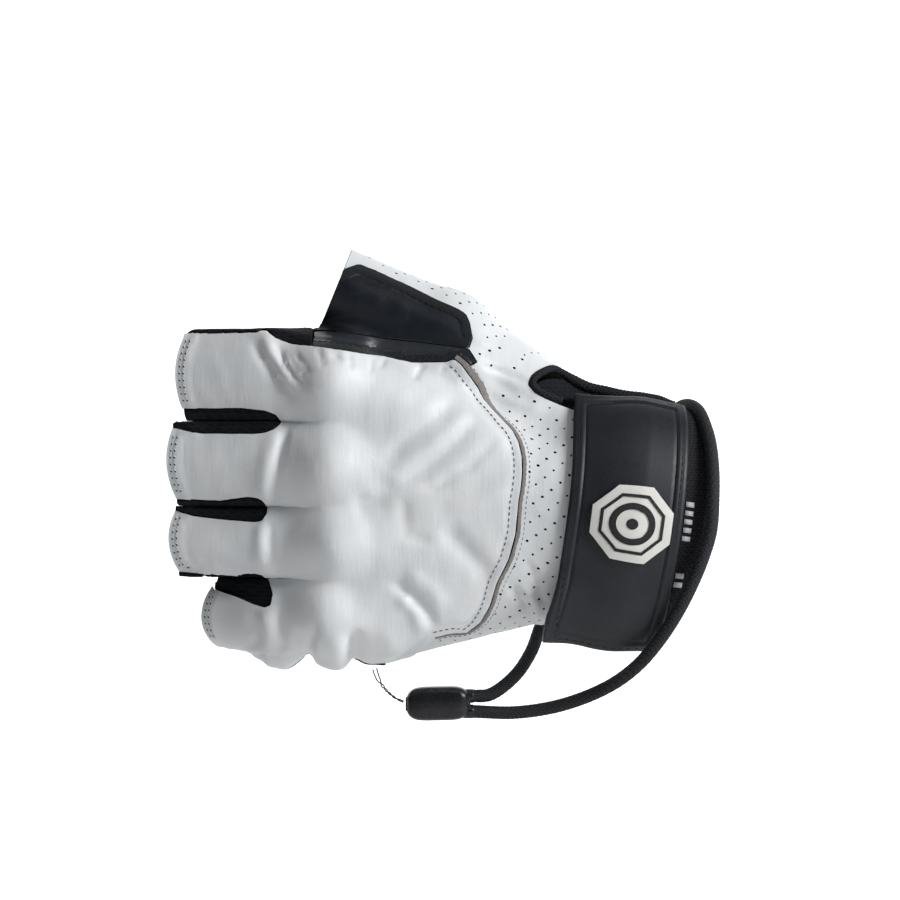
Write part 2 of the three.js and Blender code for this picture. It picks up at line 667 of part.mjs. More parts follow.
const white = 0xe9ebee;
const black = 0x1c1d21;
const base = skin(openField, [-176, -42, -58], [66, 46, 96], SIZE.cell);
base.points = base.points.map((p) => settle(press(p)));
for (const [name, f] of Object.entries(SEAMS)) splitAlong(base, name, f, SIZE.cell * 0.24);
base.normals = base.points.map(() => [0, 0, 0]);
for (const face of base.faces) {
  const [a, b, c] = face.map((i) => base.points[i]);
  const n = cross(add(b, a, -1), add(c, a, -1));
  for (const i of face) base.normals[i] = add(base.normals[i], n);
}
base.normals = base.normals.map(unit);
const pieces = {};
for (const face of base.faces) {
  const sign = {};
  for (const [name, value] of Object.entries(base.seams))
    sign[name] = value[face[0]] + value[face[1]] + value[face[2]];
  const centre = [0, 1, 2].map((m) => face.reduce((s, i) => s + base.points[i][m], 0) / 3);
  const piece = pieceOf(sign, centre);
  if (piece) (pieces[piece] = pieces[piece] || []).push(face);
}
for (const [name, levels] of Object.entries(LEVELS)) {
  const colour = name === "back_panel" || name === "wrist_panel" ? white : black;
  put(name, wall(base, pieces[name], levels), colour);
}

const edgeLine = onBack(CUFF_SEAM.slice(0, -4), 48);
const edgeFrames = surfaceFrames(edgeLine).map((f) => ({
  ...f,
  p: add(f.p, f.side, SIZE.edgeWidth / 2 + 0.45),
}));
put("back_edge", sweep(edgeFrames, bar(SIZE.edgeWidth, 0.85, 1.35)), 0x9a938a);

const { strapFrom, strapTo, strapStartDeg, strapEndDeg, strapLift, strapWall } = SIZE;
const flap = (degrees) => SIZE.flapLift * smoothstep(SIZE.flapFromDeg, strapEndDeg, degrees);
put("wrist_strap", band(strapFrom, strapTo, strapStartDeg, strapEndDeg, 3, 30, strapLift,
  strapLift + strapWall, false, flap), 0x26272b);
put("cuff_tape", band(0.3 - SIZE.tapeWidth, 0, 0, 360, 1, 42, -1.5, 0.2, true, () => 0, endBack),
  black);

const slitLine = spline(SLIT_LINE, 30)
  .map((p) => settle(p[1] < -10 ? ontoFront([p[0], -40, p[2]]) : p));
const slitFrames = surfaceFrames(slitLine).map((f) => {
  const swell = 1 + SIZE.bindingSwell * smoothstep(-37, -31, f.p[0]);
  const scaled = (v) => v.map((c) => c * swell);
  return { p: add(f.p, f.up, -0.1), side: scaled(f.side), up: scaled(f.up) };
});
put("slit_binding", sweep(slitFrames, circle(SIZE.bindingRadius, 8)), black);
const tabLine = spline(TAB_LINE, 6).map((p) => settle(p));
put("leash_tab", sweep(surfaceFrames(tabLine), bar(4.2, 1.0, 2)), black);

function sliderSolid() {
  const points = [];
  const ring = circle(1, 12).map(([u, v]) => [
    Math.sign(u) * Math.abs(u) ** 0.6,
    Math.sign(v) * Math.abs(v) ** 0.6,
  ]);
  const frames = SLIDER_SECTIONS.map(([x, share]) => ({ x, share }));
  for (const { x, share } of frames)
    for (const [u, v] of ring)
      points.push(add(SLIDER.centre, [
        x,
        u * share * SLIDER.depth / 2,
        v * share * SLIDER.height / 2 + x * SLIDER.tilt,
      ]));
  const shell = sweep(frames.map(() => ({ p: [0, 0, 0], side: [0, 0, 0], up: [0, 0, 0] })), ring);
  return { points, faces: shell.faces };
}
put("leash_slider", sliderSolid(), black);

// The badge follows the strap: rings of points round its middle.
function badgeSolid() {
  const n = 16;
  const shape = (i) => {
    const a = (2 * Math.PI * i) / n;
    const edge = (a + Math.PI / 8) % (Math.PI / 4) - Math.PI / 8;
    return BADGE.radius * Math.cos(Math.PI / 8) / Math.cos(edge);
  };
  const place = (share, i) => {
    const a = (2 * Math.PI * i) / n;
    const r = shape(i) * share;
    return onWrist(BADGE.along + r * Math.cos(a), BADGE.degrees + r * Math.sin(a) / 0.44);
  };
  const spots = [place(0, 0)];
  for (const share of [0.5, 1]) for (let i = 0; i < n; i++) spots.push(place(share, i));
  const low = SIZE.strapLift + SIZE.strapWall + BADGE.lift;
  const points = [];
  for (const level of [low + BADGE.wall, low])
    for (const p of spots) points.push(add(p, normalAt(p), level));
  const m = spots.length;
  const faces = [];
  const both = (a, b, c) => faces.push([a, b, c], [a + m, c + m, b + m]);
  for (let i = 0; i < n; i++) {
    const j = (i + 1) % n;
    both(0, 1 + i, 1 + j);
    both(1 + i, 1 + n + i, 1 + n + j);
    both(1 + i, 1 + n + j, 1 + j);
    const [a, b] = [1 + n + i, 1 + n + j];
    faces.push([a, a + m, b], [b, a + m, b + m]);
  }
  return { points, faces };
}
put("strap_badge", badgeSolid(), 0xd9dadc);

put("leash_cord", sweep(freeFrames(spline(LEASH_LINE, 54)), circle(SIZE.cordRadius, 8)), black);
put("leash_string", sweep(freeFrames(spline(STRING_LINE, 12)), circle(SIZE.stringRadius, 6)), black);

export default glove;
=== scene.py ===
import math

import bpy
import numpy as np
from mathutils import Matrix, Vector, noise


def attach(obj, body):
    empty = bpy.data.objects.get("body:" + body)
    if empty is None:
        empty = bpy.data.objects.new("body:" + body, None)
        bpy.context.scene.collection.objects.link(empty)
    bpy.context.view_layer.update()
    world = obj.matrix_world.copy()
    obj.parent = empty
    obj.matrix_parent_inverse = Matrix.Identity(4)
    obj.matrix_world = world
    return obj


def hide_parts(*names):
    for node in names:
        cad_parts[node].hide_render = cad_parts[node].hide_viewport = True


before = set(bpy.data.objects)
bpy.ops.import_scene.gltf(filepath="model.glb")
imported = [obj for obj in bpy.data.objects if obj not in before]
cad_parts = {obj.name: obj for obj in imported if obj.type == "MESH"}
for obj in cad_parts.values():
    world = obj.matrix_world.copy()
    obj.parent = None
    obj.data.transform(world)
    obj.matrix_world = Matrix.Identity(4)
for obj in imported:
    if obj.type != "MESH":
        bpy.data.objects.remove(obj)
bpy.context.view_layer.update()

# Sizes are in millimetres until a piece is made, which turns them into metres.
CELL = 1.0
LEATHER = 1.4
GAP = 0.16
BACK_STEP = 0.6
STRAP_FROM, STRAP_TO = -38.7, -6.5
STRAP_START, STRAP_END = 20, 170
FLAP_FROM, FLAP_LIFT = 126, 3.4
STRAP_LIFT, STRAP_WALL = 0.5, 1.6
STRAP_TOP = STRAP_LIFT + STRAP_WALL
TAPE_WIDTH, TAPE_BACK = 7.5, 5.5
BINDING_RADIUS, BINDING_SWELL = 1.1, 0.5
CORD_RADIUS = 1.9
PALM_PAST_TURN, FINGER_ROOTS = 4, -109
PATCH_BORDER = 2.5
SHARP = 48
AXIS = np.array([0.983, 0.13, -0.13]) / np.linalg.norm([0.983, 0.13, -0.13])

# The camera comes first: straight at the back of the hand, as in the photograph.
camera_data = bpy.data.cameras.new("camera")
camera_data.lens = 135
camera_data.sensor_width = 36
camera = bpy.data.objects.new("camera", camera_data)
camera.location = (-0.0693, -0.989, 0.0229)
camera.rotation_euler = (math.radians(90), 0, 0)
bpy.context.scene.collection.objects.link(camera)
bpy.context.scene.camera = camera

# The leash, as x y z rows along its centre line.
LEASH_LINE = [
    (-63, 0.4, -49.2), (-57.7, 1.5, -48.9), (-50.5, 4.5, -43.9), (-45.5, 10, -37.2), (-42, 18, -29),
    (-35, 27.5, -14), (-23, 30, 2), (-13, 28.4, 16), (-6, 19.5, 30), (-0.6, 6, 35.9),
    (2.8, -5, 34.6), (4.6, -13, 29.6), (5.6, -18.6, 24), (6, -22.6, 16.6), (5.8, -25.2, 9),
    (5.1, -26.2, 0), (3, -26, -7.4), (0, -25, -15), (-4.2, -23, -23.6),
    (-9.4, -19.8, -32), (-15.8, -13.6, -40), (-24.6, -5.4, -46.8), (-37, -1.6, -51.8), (-50, 0, -54),
    (-63, 0, -53.7),
]
STRING_LINE = [
    (-82.9, 0, -50.9), (-85.4, 0, -49.7), (-87.9, 0.2, -47.6), (-90, 0.8, -44.9), (-91.1, 1.6, -42.4),
    (-91.4, 2.2, -41.4),
]

# Rounded cones that make the hand's form: start x y z r, end x y z r, depth squash.
FINGER_LIMBS = [
    (-104, -11, 42.5, 12.8, -122, -7.5, 44, 10.2, 1),
    (-122, -7.5, 44, 10.2, -160, 1, 44.2, 9.8, 0.9),
    (-104, -12, 18.4, 12.6, -122, -8.5, 18.9, 9.7, 1),
    (-122, -8.5, 18.9, 9.7, -162, 0.8, 19, 9.5, 0.88),
    (-102, -11, -3, 11.5, -122, -7.5, -3.6, 8.2, 1),
    (-122, -7.5, -3.6, 8.2, -162, 1.5, -3.6, 8, 0.86),
    (-104, -7, -24.5, 11.8, -120, -2.5, -26, 9.8, 1),
    (-120, -2.5, -26, 9.8, -150, 9.5, -24.6, 6.4, 0.86),
    (-120, -2, -31.8, 8.4, -117.5, -2, -31.8, 8.4, 1),
    (-103.5, -3, -31.6, 8.6, -101.5, -3, -31.6, 8.6, 1),
]
HAND_LIMBS = [
    (-103, -11, 42, 12.6, -44, -6, 14, 14.5, 1),
    (-103, -12, 18, 12.8, -42, -6, 6, 14.5, 1),
    (-102, -11, -3, 12.2, -42, -5, -4, 14.5, 1),
    (-104, -7, -24, 12, -44, -3, -11, 15, 1),
    (-90, 1, -26.6, 12.2, -50, 4, -13.5, 13.5, 1),
]
THUMB_LIMBS = [
    (-116, 1, 75.4, 12.8, -70, 5, 55.8, 13, 1),
    (-70, 5, 55.8, 13, -36, 4, 26, 16.5, 1),
    (-70, 9, 42, 12, -34, 7, 12, 14, 1),
    (-97, -2, 55.5, 6, -66, -1, 46, 11, 1),
    (-113, -2, 50.8, 5.4, -97, -2, 54.5, 6, 1),
]
WRIST_LIMBS = [(25, 3.3, -3.3, 32.6, -18, -2.4, 3.4, 34, 1.47)]
BLEND_FINGER, BLEND_ROOT, BLEND_HAND, BLEND_THUMB, BLEND_WRIST = 1.5, 5, 10, 6, 8
BANDS = [(44.3, 13, 1, 1), (19, 12.3, 1, 1), (-3.6, 10.3, 1, 1), (-25, 11.1, 0.4, 1)]
PRESS_AMOUNT, PRESS_POWER, PRESS_FROM, PRESS_TO = 0.3, 36, -106, -122
HEMS = [
    ((-146.6, -2, 44.3), (-0.978, 0.208, -0.03), 2.4),
    ((-149, -2.3, 19), (-0.974, 0.225, -0.06), 2.2),
    ((-148.9, -1.5, -3.6), (-0.974, 0.225, -0.07), 2.6),
    ((-138.6, 5, -25), (-0.925, 0.36, 0.06), 4),
]
HEM_SPANS = [(36.6, 54.6), (10.6, 27.2), (-10.9, 3.2), (-31.6, -18.8)]
THUMB_HEM = ((-103, 2, 70.4), (-0.924, -0.05, 0.379))

# Seams seen from the back of the hand, as x z pairs.
BACK_TOP = [
    (-125, 56.3), (-123.2, 57.4), (-119.8, 55.1), (-114.5, 53.2), (-104.4, 51.7),
    (-97.5, 50.6), (-89, 49.6), (-80.6, 48.3), (-70.3, 48.5), (-68.1, 49.3),
]
CUFF_SEAM = [
    (-68.1, 49.3), (-66.1, 47.7), (-63.2, 43.8), (-61.2, 40.9), (-59.7, 37.4), (-57.4, 34.5),
    (-54.2, 31.1), (-51.3, 28.1), (-49.6, 24.9), (-48.7, 20.9), (-48.6, 16.2), (-49, 11.9),
    (-49.6, 8.4), (-50.5, -1.3), (-52.5, -8.6), (-55.8, -15.3), (-57.8, -22), (-60.5, -26.6),
    (-64.5, -29.6), (-69.2, -29.9), (-73.8, -30.9), (-76.5, -33.9), (-81.8, -37.9), (-88.4, -41),
]
BACK_OUTLINE = [
    (-170, 56.3), *BACK_TOP, *CUFF_SEAM[1:], (-90, -56), (-170, -56),
    (-170, -17.4), (-138.8, -17.2), (-137.6, -18), (-131.4, -19.7), (-126.2, -21.7), (-122.9, -22.6),
    (-121.2, -21.9), (-120.7, -18.8), (-122, -15), (-123.7, -12.9), (-127.4, -12.7), (-131.8, -13.3),
    (-147.3, -12.1), (-170, -12.1),
    (-170, 5), (-148.9, 5), (-144, 3.7), (-133.9, 2.7), (-126.5, 2.1), (-123.7, 2.3), (-122.3, 4.2),
    (-122.1, 6.6), (-123.2, 8.6), (-124.9, 9.3), (-127.8, 9.5), (-135.9, 8.4), (-146.3, 8.9), (-170, 8.9),
    (-170, 29), (-148.8, 29), (-143.4, 27.7), (-126, 27.4), (-122.4, 27.7), (-120.1, 28.4), (-118.3, 30),
    (-118.1, 31.6), (-119.4, 33.2), (-122.5, 34.4), (-129, 35.1), (-170, 35),
]
PATCH_OUTLINE = [
    (-118, 80), (-101.5, 74.6), (-96, 76.8), (-90.5, 74.6), (-82.1, 70.8), (-73.7, 66.7),
    (-67, 63.8), (-64.8, 62.4), (-63.8, 60), (-62.9, 55.4), (-64, 52.2), (-76, 54), (-90, 55.5),
    (-104.5, 57.1), (-118, 58)]
WEB_OUTLINE = [
    (-112, 57.5), (-104.5, 57.1), (-90, 55.5), (-76, 54), (-64, 52.2), (-61.5, 48.2),
    (-68.1, 46), (-112, 46)]
SLIT_OUTLINE = [
    (-45.5, 42.1), (-44.7, 43.9), (-42, 45.3), (-38.6, 45.8), (-31.9, 45.2), (-25.2, 43.8),
    (-12.2, 41.2), (8, 39.2), (8, 30), (-12, 32), (-30, 34.5), (-37, 37), (-41.4, 38.9),
    (-44, 40.4)]
TURN = [(-170, 6), (-146, 1), (-122, -5), (-104, -8), (-85, -6), (-62, -2), (-50, 1), (10, 3)]
SLIT_LINE = [
    (-36.7, -14, 37), (-41.4, -13, 38.9), (-44, -12.5, 40.4), (-45.2, -11.4, 42.1),
    (-44.6, -8.5, 44), (-42, -5, 45.4), (-38.6, -2, 46.4), (-33, -1.1, 45), (-25.2, -1.1, 42.4),
    (-18.3, -1.1, 40), (-15, -1.1, 39), (-12.3, -1.1, 38.5),
]


def smoothstep(lo, hi, v):
    t = np.clip((v - lo) / (hi - lo), 0, 1)
    return t * t * (3 - 2 * t)


def bell(v, middle, width):
    return np.exp(-((v - middle) / width) ** 2)


def angles(n):
    """Even angles round a circle."""
    return 2 * np.pi * np.arange(n) / n


def run_of(line):
    """The length along a line up to each of its points."""
    return np.concatenate([[0], np.cumsum(np.linalg.norm(line[1:] - line[:-1], axis=1))])


def smooth_min(a, b, k):
    h = np.maximum(k - np.abs(a - b), 0) / k
    return np.minimum(a, b) - h * h * k * 0.25


def limb(p, row):
    """Distance to one rounded cone, less than 0 inside it."""
    a, ra, b, rb, squash = np.array(row[0:3]), row[3], np.array(row[4:7]), row[7], row[8]
    d = b - a
    rel = p - a
    t = np.clip(rel @ d / (d @ d), 0, 1)
    rel = rel - t[:, None] * d
    return np.sqrt(rel[:, 0] ** 2 + (rel[:, 1] * squash) ** 2 + rel[:, 2] ** 2) - (ra + (rb - ra) * t)


def blended(p, limbs, k):
    total = limb(p, limbs[0])
    for row in limbs[1:]:
        total = smooth_min(total, limb(p, row), k)
    return total


def open_field(p):
    fingers = blended(p, FINGER_LIMBS, BLEND_FINGER)
    total = smooth_min(blended(p, HAND_LIMBS, BLEND_HAND), fingers, BLEND_ROOT)
    past = (p - np.array(THUMB_HEM[0])) @ np.array(THUMB_HEM[1]) - 5
    total = smooth_min(total, np.maximum(blended(p, THUMB_LIMBS, BLEND_THUMB), past), BLEND_THUMB)
    return smooth_min(total, blended(p, WRIST_LIMBS, BLEND_WRIST), BLEND_WRIST)


def unpress(p):
    """Where a point lay before the finger bands were pressed flat against each other."""
    q = p.copy()
    amount = PRESS_AMOUNT * smoothstep(PRESS_FROM, PRESS_TO, p[:, 0])
    for centre, half, low, high in BANDS:
        v = (p[:, 2] - centre) / half
        use = np.abs(v) < 1
        v = v[use]
        share = amount[use] * np.where(v < 0, low, high)
        q[use, 2] = centre + half * v * (1 - share * (1 - np.abs(v) ** PRESS_POWER))
    return q


def press(p):
    q = p.copy()
    for centre, half, _, _ in BANDS:
        use = np.abs(p[:, 2] - centre) < half
        lo = np.full(use.sum(), centre - half, dtype=float)
        hi = np.full(use.sum(), centre + half, dtype=float)
        trial = p[use].copy()
        for _ in range(34):
            mid = (lo + hi) / 2
            trial[:, 2] = mid
            low = unpress(trial)[:, 2] < p[use, 2]
            lo = np.where(low, mid, lo)
            hi = np.where(low, hi, mid)
        q[use, 2] = (lo + hi) / 2
    return q


def field(p):
    return open_field(unpress(p))


def slope(f, p, e=0.05):
    g = np.empty_like(p)
    for i in range(3):
        step = np.zeros(3)
        step[i] = e
        g[:, i] = (f(p + step) - f(p - step)) / (2 * e)
    return g


def settle(p, steps=4):
    """Moves points onto the hand's form."""
    q = np.array(p, dtype=float)
    for _ in range(steps):
        g = slope(field, q)
        size = np.maximum((g * g).sum(1), 0.05)
        q -= g * np.clip(field(q) / size, -2, 2)[:, None]
    return q


def unit(v):
    return v / np.maximum(np.linalg.norm(v, axis=-1, keepdims=True), 1e-9)


def skin(f, lo, hi, cell):
    """Surface nets: one vertex in each cell that the face crosses, as points and triangles."""
    n = [int(math.ceil((hi[i] - lo[i]) / cell)) + 1 for i in range(3)]
    axes = [lo[i] + cell * np.arange(n[i]) for i in range(3)]
    value = np.empty(n)
    yz = np.stack(np.meshgrid(axes[1], axes[2], indexing="ij"), -1).reshape(-1, 2)
    for i, x in enumerate(axes[0]):
        p = np.column_stack([np.full(len(yz), x), yz])
        value[i] = f(p).reshape(n[1], n[2])
    inside = value < 0
    corners = [(a, b, c) for a in (0, 1) for b in (0, 1) for c in (0, 1)]
    total = sum(inside[a:n[0] - 1 + a, b:n[1] - 1 + b, c:n[2] - 1 + c].astype(int)
        for a, b, c in corners)
    active = (total > 0) & (total < 8)
    index = np.full(active.shape, -1)
    cells = np.argwhere(active)
    index[active] = np.arange(len(cells))
    sums = np.zeros((len(cells), 3))
    count = np.zeros(len(cells))
    for a in corners:
        for b in corners:
            if a < b and sum(abs(a[i] - b[i]) for i in range(3)) == 1:
                va = value[tuple((cells + a).T)]
                vb = value[tuple((cells + b).T)]
                use = (va < 0) != (vb < 0)
                t = va[use] / (va[use] - vb[use])
                sums[use] += np.array(a) + (np.array(b) - np.array(a)) * t[:, None]
                count[use] += 1
    points = np.array(lo) + cell * (cells + sums / count[:, None])
    quads = []
    for axis in range(3):
        step = np.eye(3, dtype=int)[axis]
        here = inside[1:n[0] - 1, 1:n[1] - 1, 1:n[2] - 1]
        there = inside[1 + step[0]:n[0] - 1 + step[0], 1 + step[1]:n[1] - 1 + step[1],
            1 + step[2]:n[2] - 1 + step[2]]
        spots = np.argwhere(here != there) + 1
        u, w = (axis + 1) % 3, (axis + 2) % 3
        ring = []
        for a, b in ((0, 0), (1, 0), (1, 1), (0, 1)):
            c = spots.copy()
            c[:, u] -= a
            c[:, w] -= b
            ok = (c < np.array(active.shape)).all(1)
            c[~ok] = 0
            ring.append(np.where(ok, index[tuple(c.T)], -1))
        ring = np.stack(ring, 1)
        turned = ~inside[tuple(spots.T)]
        ring[turned] = ring[turned][:, ::-1]
        quads.append(ring[(ring >= 0).all(1)])
    quads = np.concatenate(quads)
    a, b, c, d = quads.T
    ac, bd = (np.linalg.norm(points[i] - points[j], axis=1) for i, j in ((a, c), (b, d)))
    short = ac < bd
    faces = np.concatenate([
        np.stack([a, b, np.where(short, c, d)], 1),
        np.stack([np.where(short, a, b), c, d], 1)])
    return points, faces


class Skin:
    """The glove's outer skin as one mesh, which seams cut into panels."""

    def __init__(self, points, faces):
        self.p, self.t = points, faces
        self.locked = np.zeros(len(points), bool)
        self.seams = {}

    def split(self, name, f, reach):
        """Cuts the mesh along the line where f is 0, with near vertices moved onto the line."""
        value = f(self.p)
        near = np.abs(value) <= reach
        free = np.flatnonzero(near & ~self.locked)
        q = self.p[free].copy()
        for _ in range(3):
            g = slope(f, q)
            size = np.maximum((g * g).sum(1), 0.2)
            q = settle(q - g * np.clip(f(q) / size, -reach, reach)[:, None], steps=1)
        ok = np.linalg.norm(q - self.p[free], axis=1) <= 1.6 * reach
        self.p[free[ok]] = settle(q[ok], steps=2)
        self.locked[free[ok]] = True
        value[near & self.locked] = 0
        self.seams[name] = value
        sign = np.sign(value).astype(int)
        s = sign[self.t]
        mixed = (s.max(1) > 0) & (s.min(1) < 0)
        keep, cut = self.t[~mixed], self.t[mixed]
        s = s[mixed]
        n = len(self.p)
        made = {}

        def middle(a, b):
            lo, hi = np.minimum(a, b), np.maximum(a, b)
            return lo.astype(np.int64) * n + hi

        has_zero = (s == 0).any(1)
        z = cut[has_zero]
        roll = np.argmax(s[has_zero] == 0, axis=1)
        rows = np.arange(len(z))
        za, zb, zc = (z[rows, (roll + k) % 3] for k in range(3))
        o = cut[~has_zero]
        so = s[~has_zero]
        lone_sign = -np.sign(so.sum(1))
        roll = np.argmax(so == lone_sign[:, None], axis=1)
        rows = np.arange(len(o))
        oa, ob, oc = (o[rows, (roll + k) % 3] for k in range(3))
        keys = np.concatenate([middle(zb, zc), middle(oa, ob), middle(oc, oa)])
        unique, back = np.unique(keys, return_inverse=True)
        lo, hi = unique // n, unique % n
        t = (value[lo] / (value[lo] - value[hi]))[:, None]
        new = settle(self.p[lo] + (self.p[hi] - self.p[lo]) * t, steps=2)
        index = n + back.reshape(-1)
        zm = index[:len(z)]
        oab = index[len(z):len(z) + len(o)]
        oca = index[len(z) + len(o):]
        self.p = np.concatenate([self.p, new])
        self.locked = np.concatenate([self.locked, np.ones(len(new), bool)])
        for other, v in self.seams.items():
            extra = np.zeros(len(new)) if other == name else v[lo] + (v[hi] - v[lo]) * t[:, 0]
            self.seams[other] = np.concatenate([v, extra])
        self.t = np.concatenate([keep,
            np.stack([za, zb, zm], 1), np.stack([za, zm, zc], 1),
            np.stack([oa, oab, oca], 1), np.stack([oab, ob, oca], 1), np.stack([ob, oc, oca], 1)])


def inside(outline, p):
    """How far inside an outline of x z points each point lies, less than 0 outside it."""
    x, z = p[:, 0], p[:, 2]
    best = np.full(len(p), 1e9)
    odd = np.zeros(len(p), bool)
    for i in range(len(outline)):
        x0, z0 = outline[i - 1]
        x1, z1 = outline[i]
        dx, dz = x1 - x0, z1 - z0
        t = np.clip(((x - x0) * dx + (z - z0) * dz) / (dx * dx + dz * dz), 0, 1)
        best = np.minimum(best, np.hypot(x - x0 - dx * t, z - z0 - dz * t))
        if dz:
            odd ^= ((z0 > z) != (z1 > z)) & (x < dx * (z - z0) / dz + x0)
    return np.where(odd, best, -best)


def turn_at(p):
    table = np.array(TURN)
    return (np.interp(p[:, 0], table[:, 0], table[:, 1]) + 5 * smoothstep(-12, -24, p[:, 2])
        + 9 * smoothstep(50, 62, p[:, 2]) * smoothstep(-120, -105, p[:, 0]))


def hems(p):
    value = np.full(len(p), 1e9)
    for (centre, way, bow), (middle, half, _, _) in zip(HEMS, BANDS):
        aside = np.abs(p[:, 2] - middle)
        past = (np.array(centre) - p) @ np.array(way) - bow * np.minimum(aside / half, 0.8) ** 2
        value = np.minimum(value, np.maximum(past, 1.2 * (aside - half - 1)))
    return value


def thumb_hem(p):
    return np.maximum((np.array(THUMB_HEM[0]) - p) @ np.array(THUMB_HEM[1]), 58 - p[:, 2])


WRIST_X = AXIS
WRIST_Z = unit(np.array([0, 0, 1]) - AXIS * AXIS[2])
WRIST_Y = np.cross(WRIST_Z, WRIST_X)


def degrees_of(p):
    return np.degrees(np.arctan2(-(p @ WRIST_Y), p @ WRIST_Z))


def end_back(degrees):
    """How far the cuff's end draws back at an angle round the wrist."""
    turn = np.abs((np.asarray(degrees) + 180) % 360 - 180)
    return TAPE_BACK * smoothstep(75, 20, turn)


def panel(outline):
    """The seam round a panel of the back, which ends where the leather turns to the palm."""
    return lambda p: np.minimum(inside(outline, p), turn_at(p) - p[:, 1])


SEAMS = {
    "hems": hems,
    "thumb_hem": thumb_hem,
    "cuff_end": lambda p: -TAPE_WIDTH - end_back(degrees_of(p)) - p @ AXIS,
    "back": panel(BACK_OUTLINE),
    "patch": panel(PATCH_OUTLINE),
    "web": panel(WEB_OUTLINE),
    "patch_inside": lambda p: panel(PATCH_OUTLINE)(p) - PATCH_BORDER,
    "slit_rim": lambda p: np.minimum(inside(SLIT_OUTLINE, p) + 0.9, 0.3 - p[:, 1]),
    "slit": lambda p: np.minimum(inside(SLIT_OUTLINE, p) - 1.2, -2.6 - p[:, 1]),
    "palm": lambda p: p[:, 1] - turn_at(p) - PALM_PAST_TURN,
    "fingers": lambda p: FINGER_ROOTS - p[:, 0],
}

base = Skin(*skin(open_field, (-176, -42, -58), (14, 46, 96), CELL))
base.p = settle(press(base.p), steps=2)
for seam_name, seam in SEAMS.items():
    base.split(seam_name, seam, CELL * 0.24)
corner = base.p[base.t]
face_normal = np.cross(corner[:, 1] - corner[:, 0], corner[:, 2] - corner[:, 0])
base.n = np.zeros_like(base.p)
for k in range(3):
    np.add.at(base.n, base.t[:, k], face_normal)
base.n = unit(base.n)

sign = {name: value[base.t].sum(1) for name, value in base.seams.items()}
middle = corner.mean(1)
kept = (sign["hems"] >= 0) & (sign["thumb_hem"] >= 0) & (sign["cuff_end"] >= 0)
finger_piece = np.select([middle[:, 2] > centre for centre, _, _, _ in BANDS],
    ["index_side", "fourchette_1", "fourchette_2", "fourchette_3"], "palm_panel")
label = np.select(
    [~kept, sign["back"] > 0, sign["patch"] > 0, sign["slit"] > 0, sign["slit_rim"] > 0,
        sign["palm"] > 0, sign["fingers"] > 0, sign["web"] > 0,
        (middle[:, 0] < -88) & (middle[:, 2] < 52 + 6 * smoothstep(-92, -102, middle[:, 0]))],
    ["none", "back_panel", "thumb_patch", "slit_gusset", "none", "palm_panel", finger_piece,
        "palm_panel", "palm_panel"], "wrist_panel")


def largest_patch(faces, n, rank=1):
    """The biggest set of faces that hang together, or with rank 2 the next one."""
    mark = np.arange(n)
    while True:
        low = mark[faces].min(1)
        new = mark.copy()
        for k in range(3):
            np.minimum.at(new, faces[:, k], low)
        new = new[new]
        if (new == mark).all():
            break
        mark = new
    names, counts = np.unique(mark[faces[:, 0]], return_counts=True)
    return faces[mark[faces[:, 0]] == names[np.argsort(counts)[-rank]]]


def wall(name, outer, inner, bump=None, rank=1):
    """A closed wall from a patch of the skin: rim drawn in, faces moved out and in."""
    faces = largest_patch(base.t[label == name], len(base.p), rank)
    border = base.seams["patch_inside"][faces].sum(1) < 0
    used, faces = np.unique(faces, return_inverse=True)
    faces = faces.reshape(-1, 3)
    p, n = base.p[used], base.n[used]
    edges = np.concatenate([faces[:, [0, 1]], faces[:, [1, 2]], faces[:, [2, 0]]])
    code = edges[:, 0].astype(np.int64) * len(p) + edges[:, 1]
    back = edges[:, 1].astype(np.int64) * len(p) + edges[:, 0]
    rim = edges[~np.isin(code, back)]
    draw = np.zeros_like(p)
    along = unit(p[rim[:, 1]] - p[rim[:, 0]])
    np.add.at(draw, rim[:, 0], np.cross(n[rim[:, 0]], along))
    np.add.at(draw, rim[:, 1], np.cross(n[rim[:, 1]], along))
    draw = unit(draw)
    on_rim = np.zeros(len(p), bool)
    on_rim[rim] = True
    drawn = p + draw * (GAP * on_rim)[:, None]
    lift = np.zeros(len(p)) if bump is None else bump(p, n)
    top = drawn + draw * (0.14 * on_rim)[:, None] + n * (outer + lift)[:, None]
    shoulder = drawn[rim[:, 0]] + n[rim[:, 0]] * (outer - 0.35 + lift[rim[:, 0]])[:, None]
    low = drawn + n * np.minimum(inner, outer + lift - 0.6)[:, None]
    count = len(p)
    where = np.full(count, -1)
    where[rim[:, 0]] = 2 * count + np.arange(len(rim))
    a, b = rim.T
    sa, sb = where[a], where[b]
    tris = np.concatenate([faces, faces[:, [0, 2, 1]] + count,
        np.stack([b, a, sa], 1), np.stack([b, sa, sb], 1),
        np.stack([sb, sa, a + count], 1), np.stack([sb, a + count, b + count], 1)])
    return np.concatenate([top, low, shoulder]), tris, border


def mesh_piece(name, shape, looks, slots=None, node=None, sharp=None):
    """Makes one visible piece from points in millimetres and faces, riding on the root body."""
    points, faces = shape
    mesh = bpy.data.meshes.new(name)
    mesh.from_pydata((np.asarray(points) * 0.001).tolist(), [],
        [[int(i) for i in face] for face in faces])
    mesh.shade_smooth()
    for look in looks if isinstance(looks, (list, tuple)) else [looks]:
        mesh.materials.append(look)
    if slots is not None:
        mesh.polygons.foreach_set("material_index", np.asarray(slots, dtype=np.int32))
    mesh.update()
    if sharp:
        mesh.set_sharp_from_angle(angle=math.radians(sharp))
    obj = bpy.data.objects.new(name, mesh)
    bpy.context.scene.collection.objects.link(obj)
    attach(obj, "root")
    if node:
        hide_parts(node)
    return obj


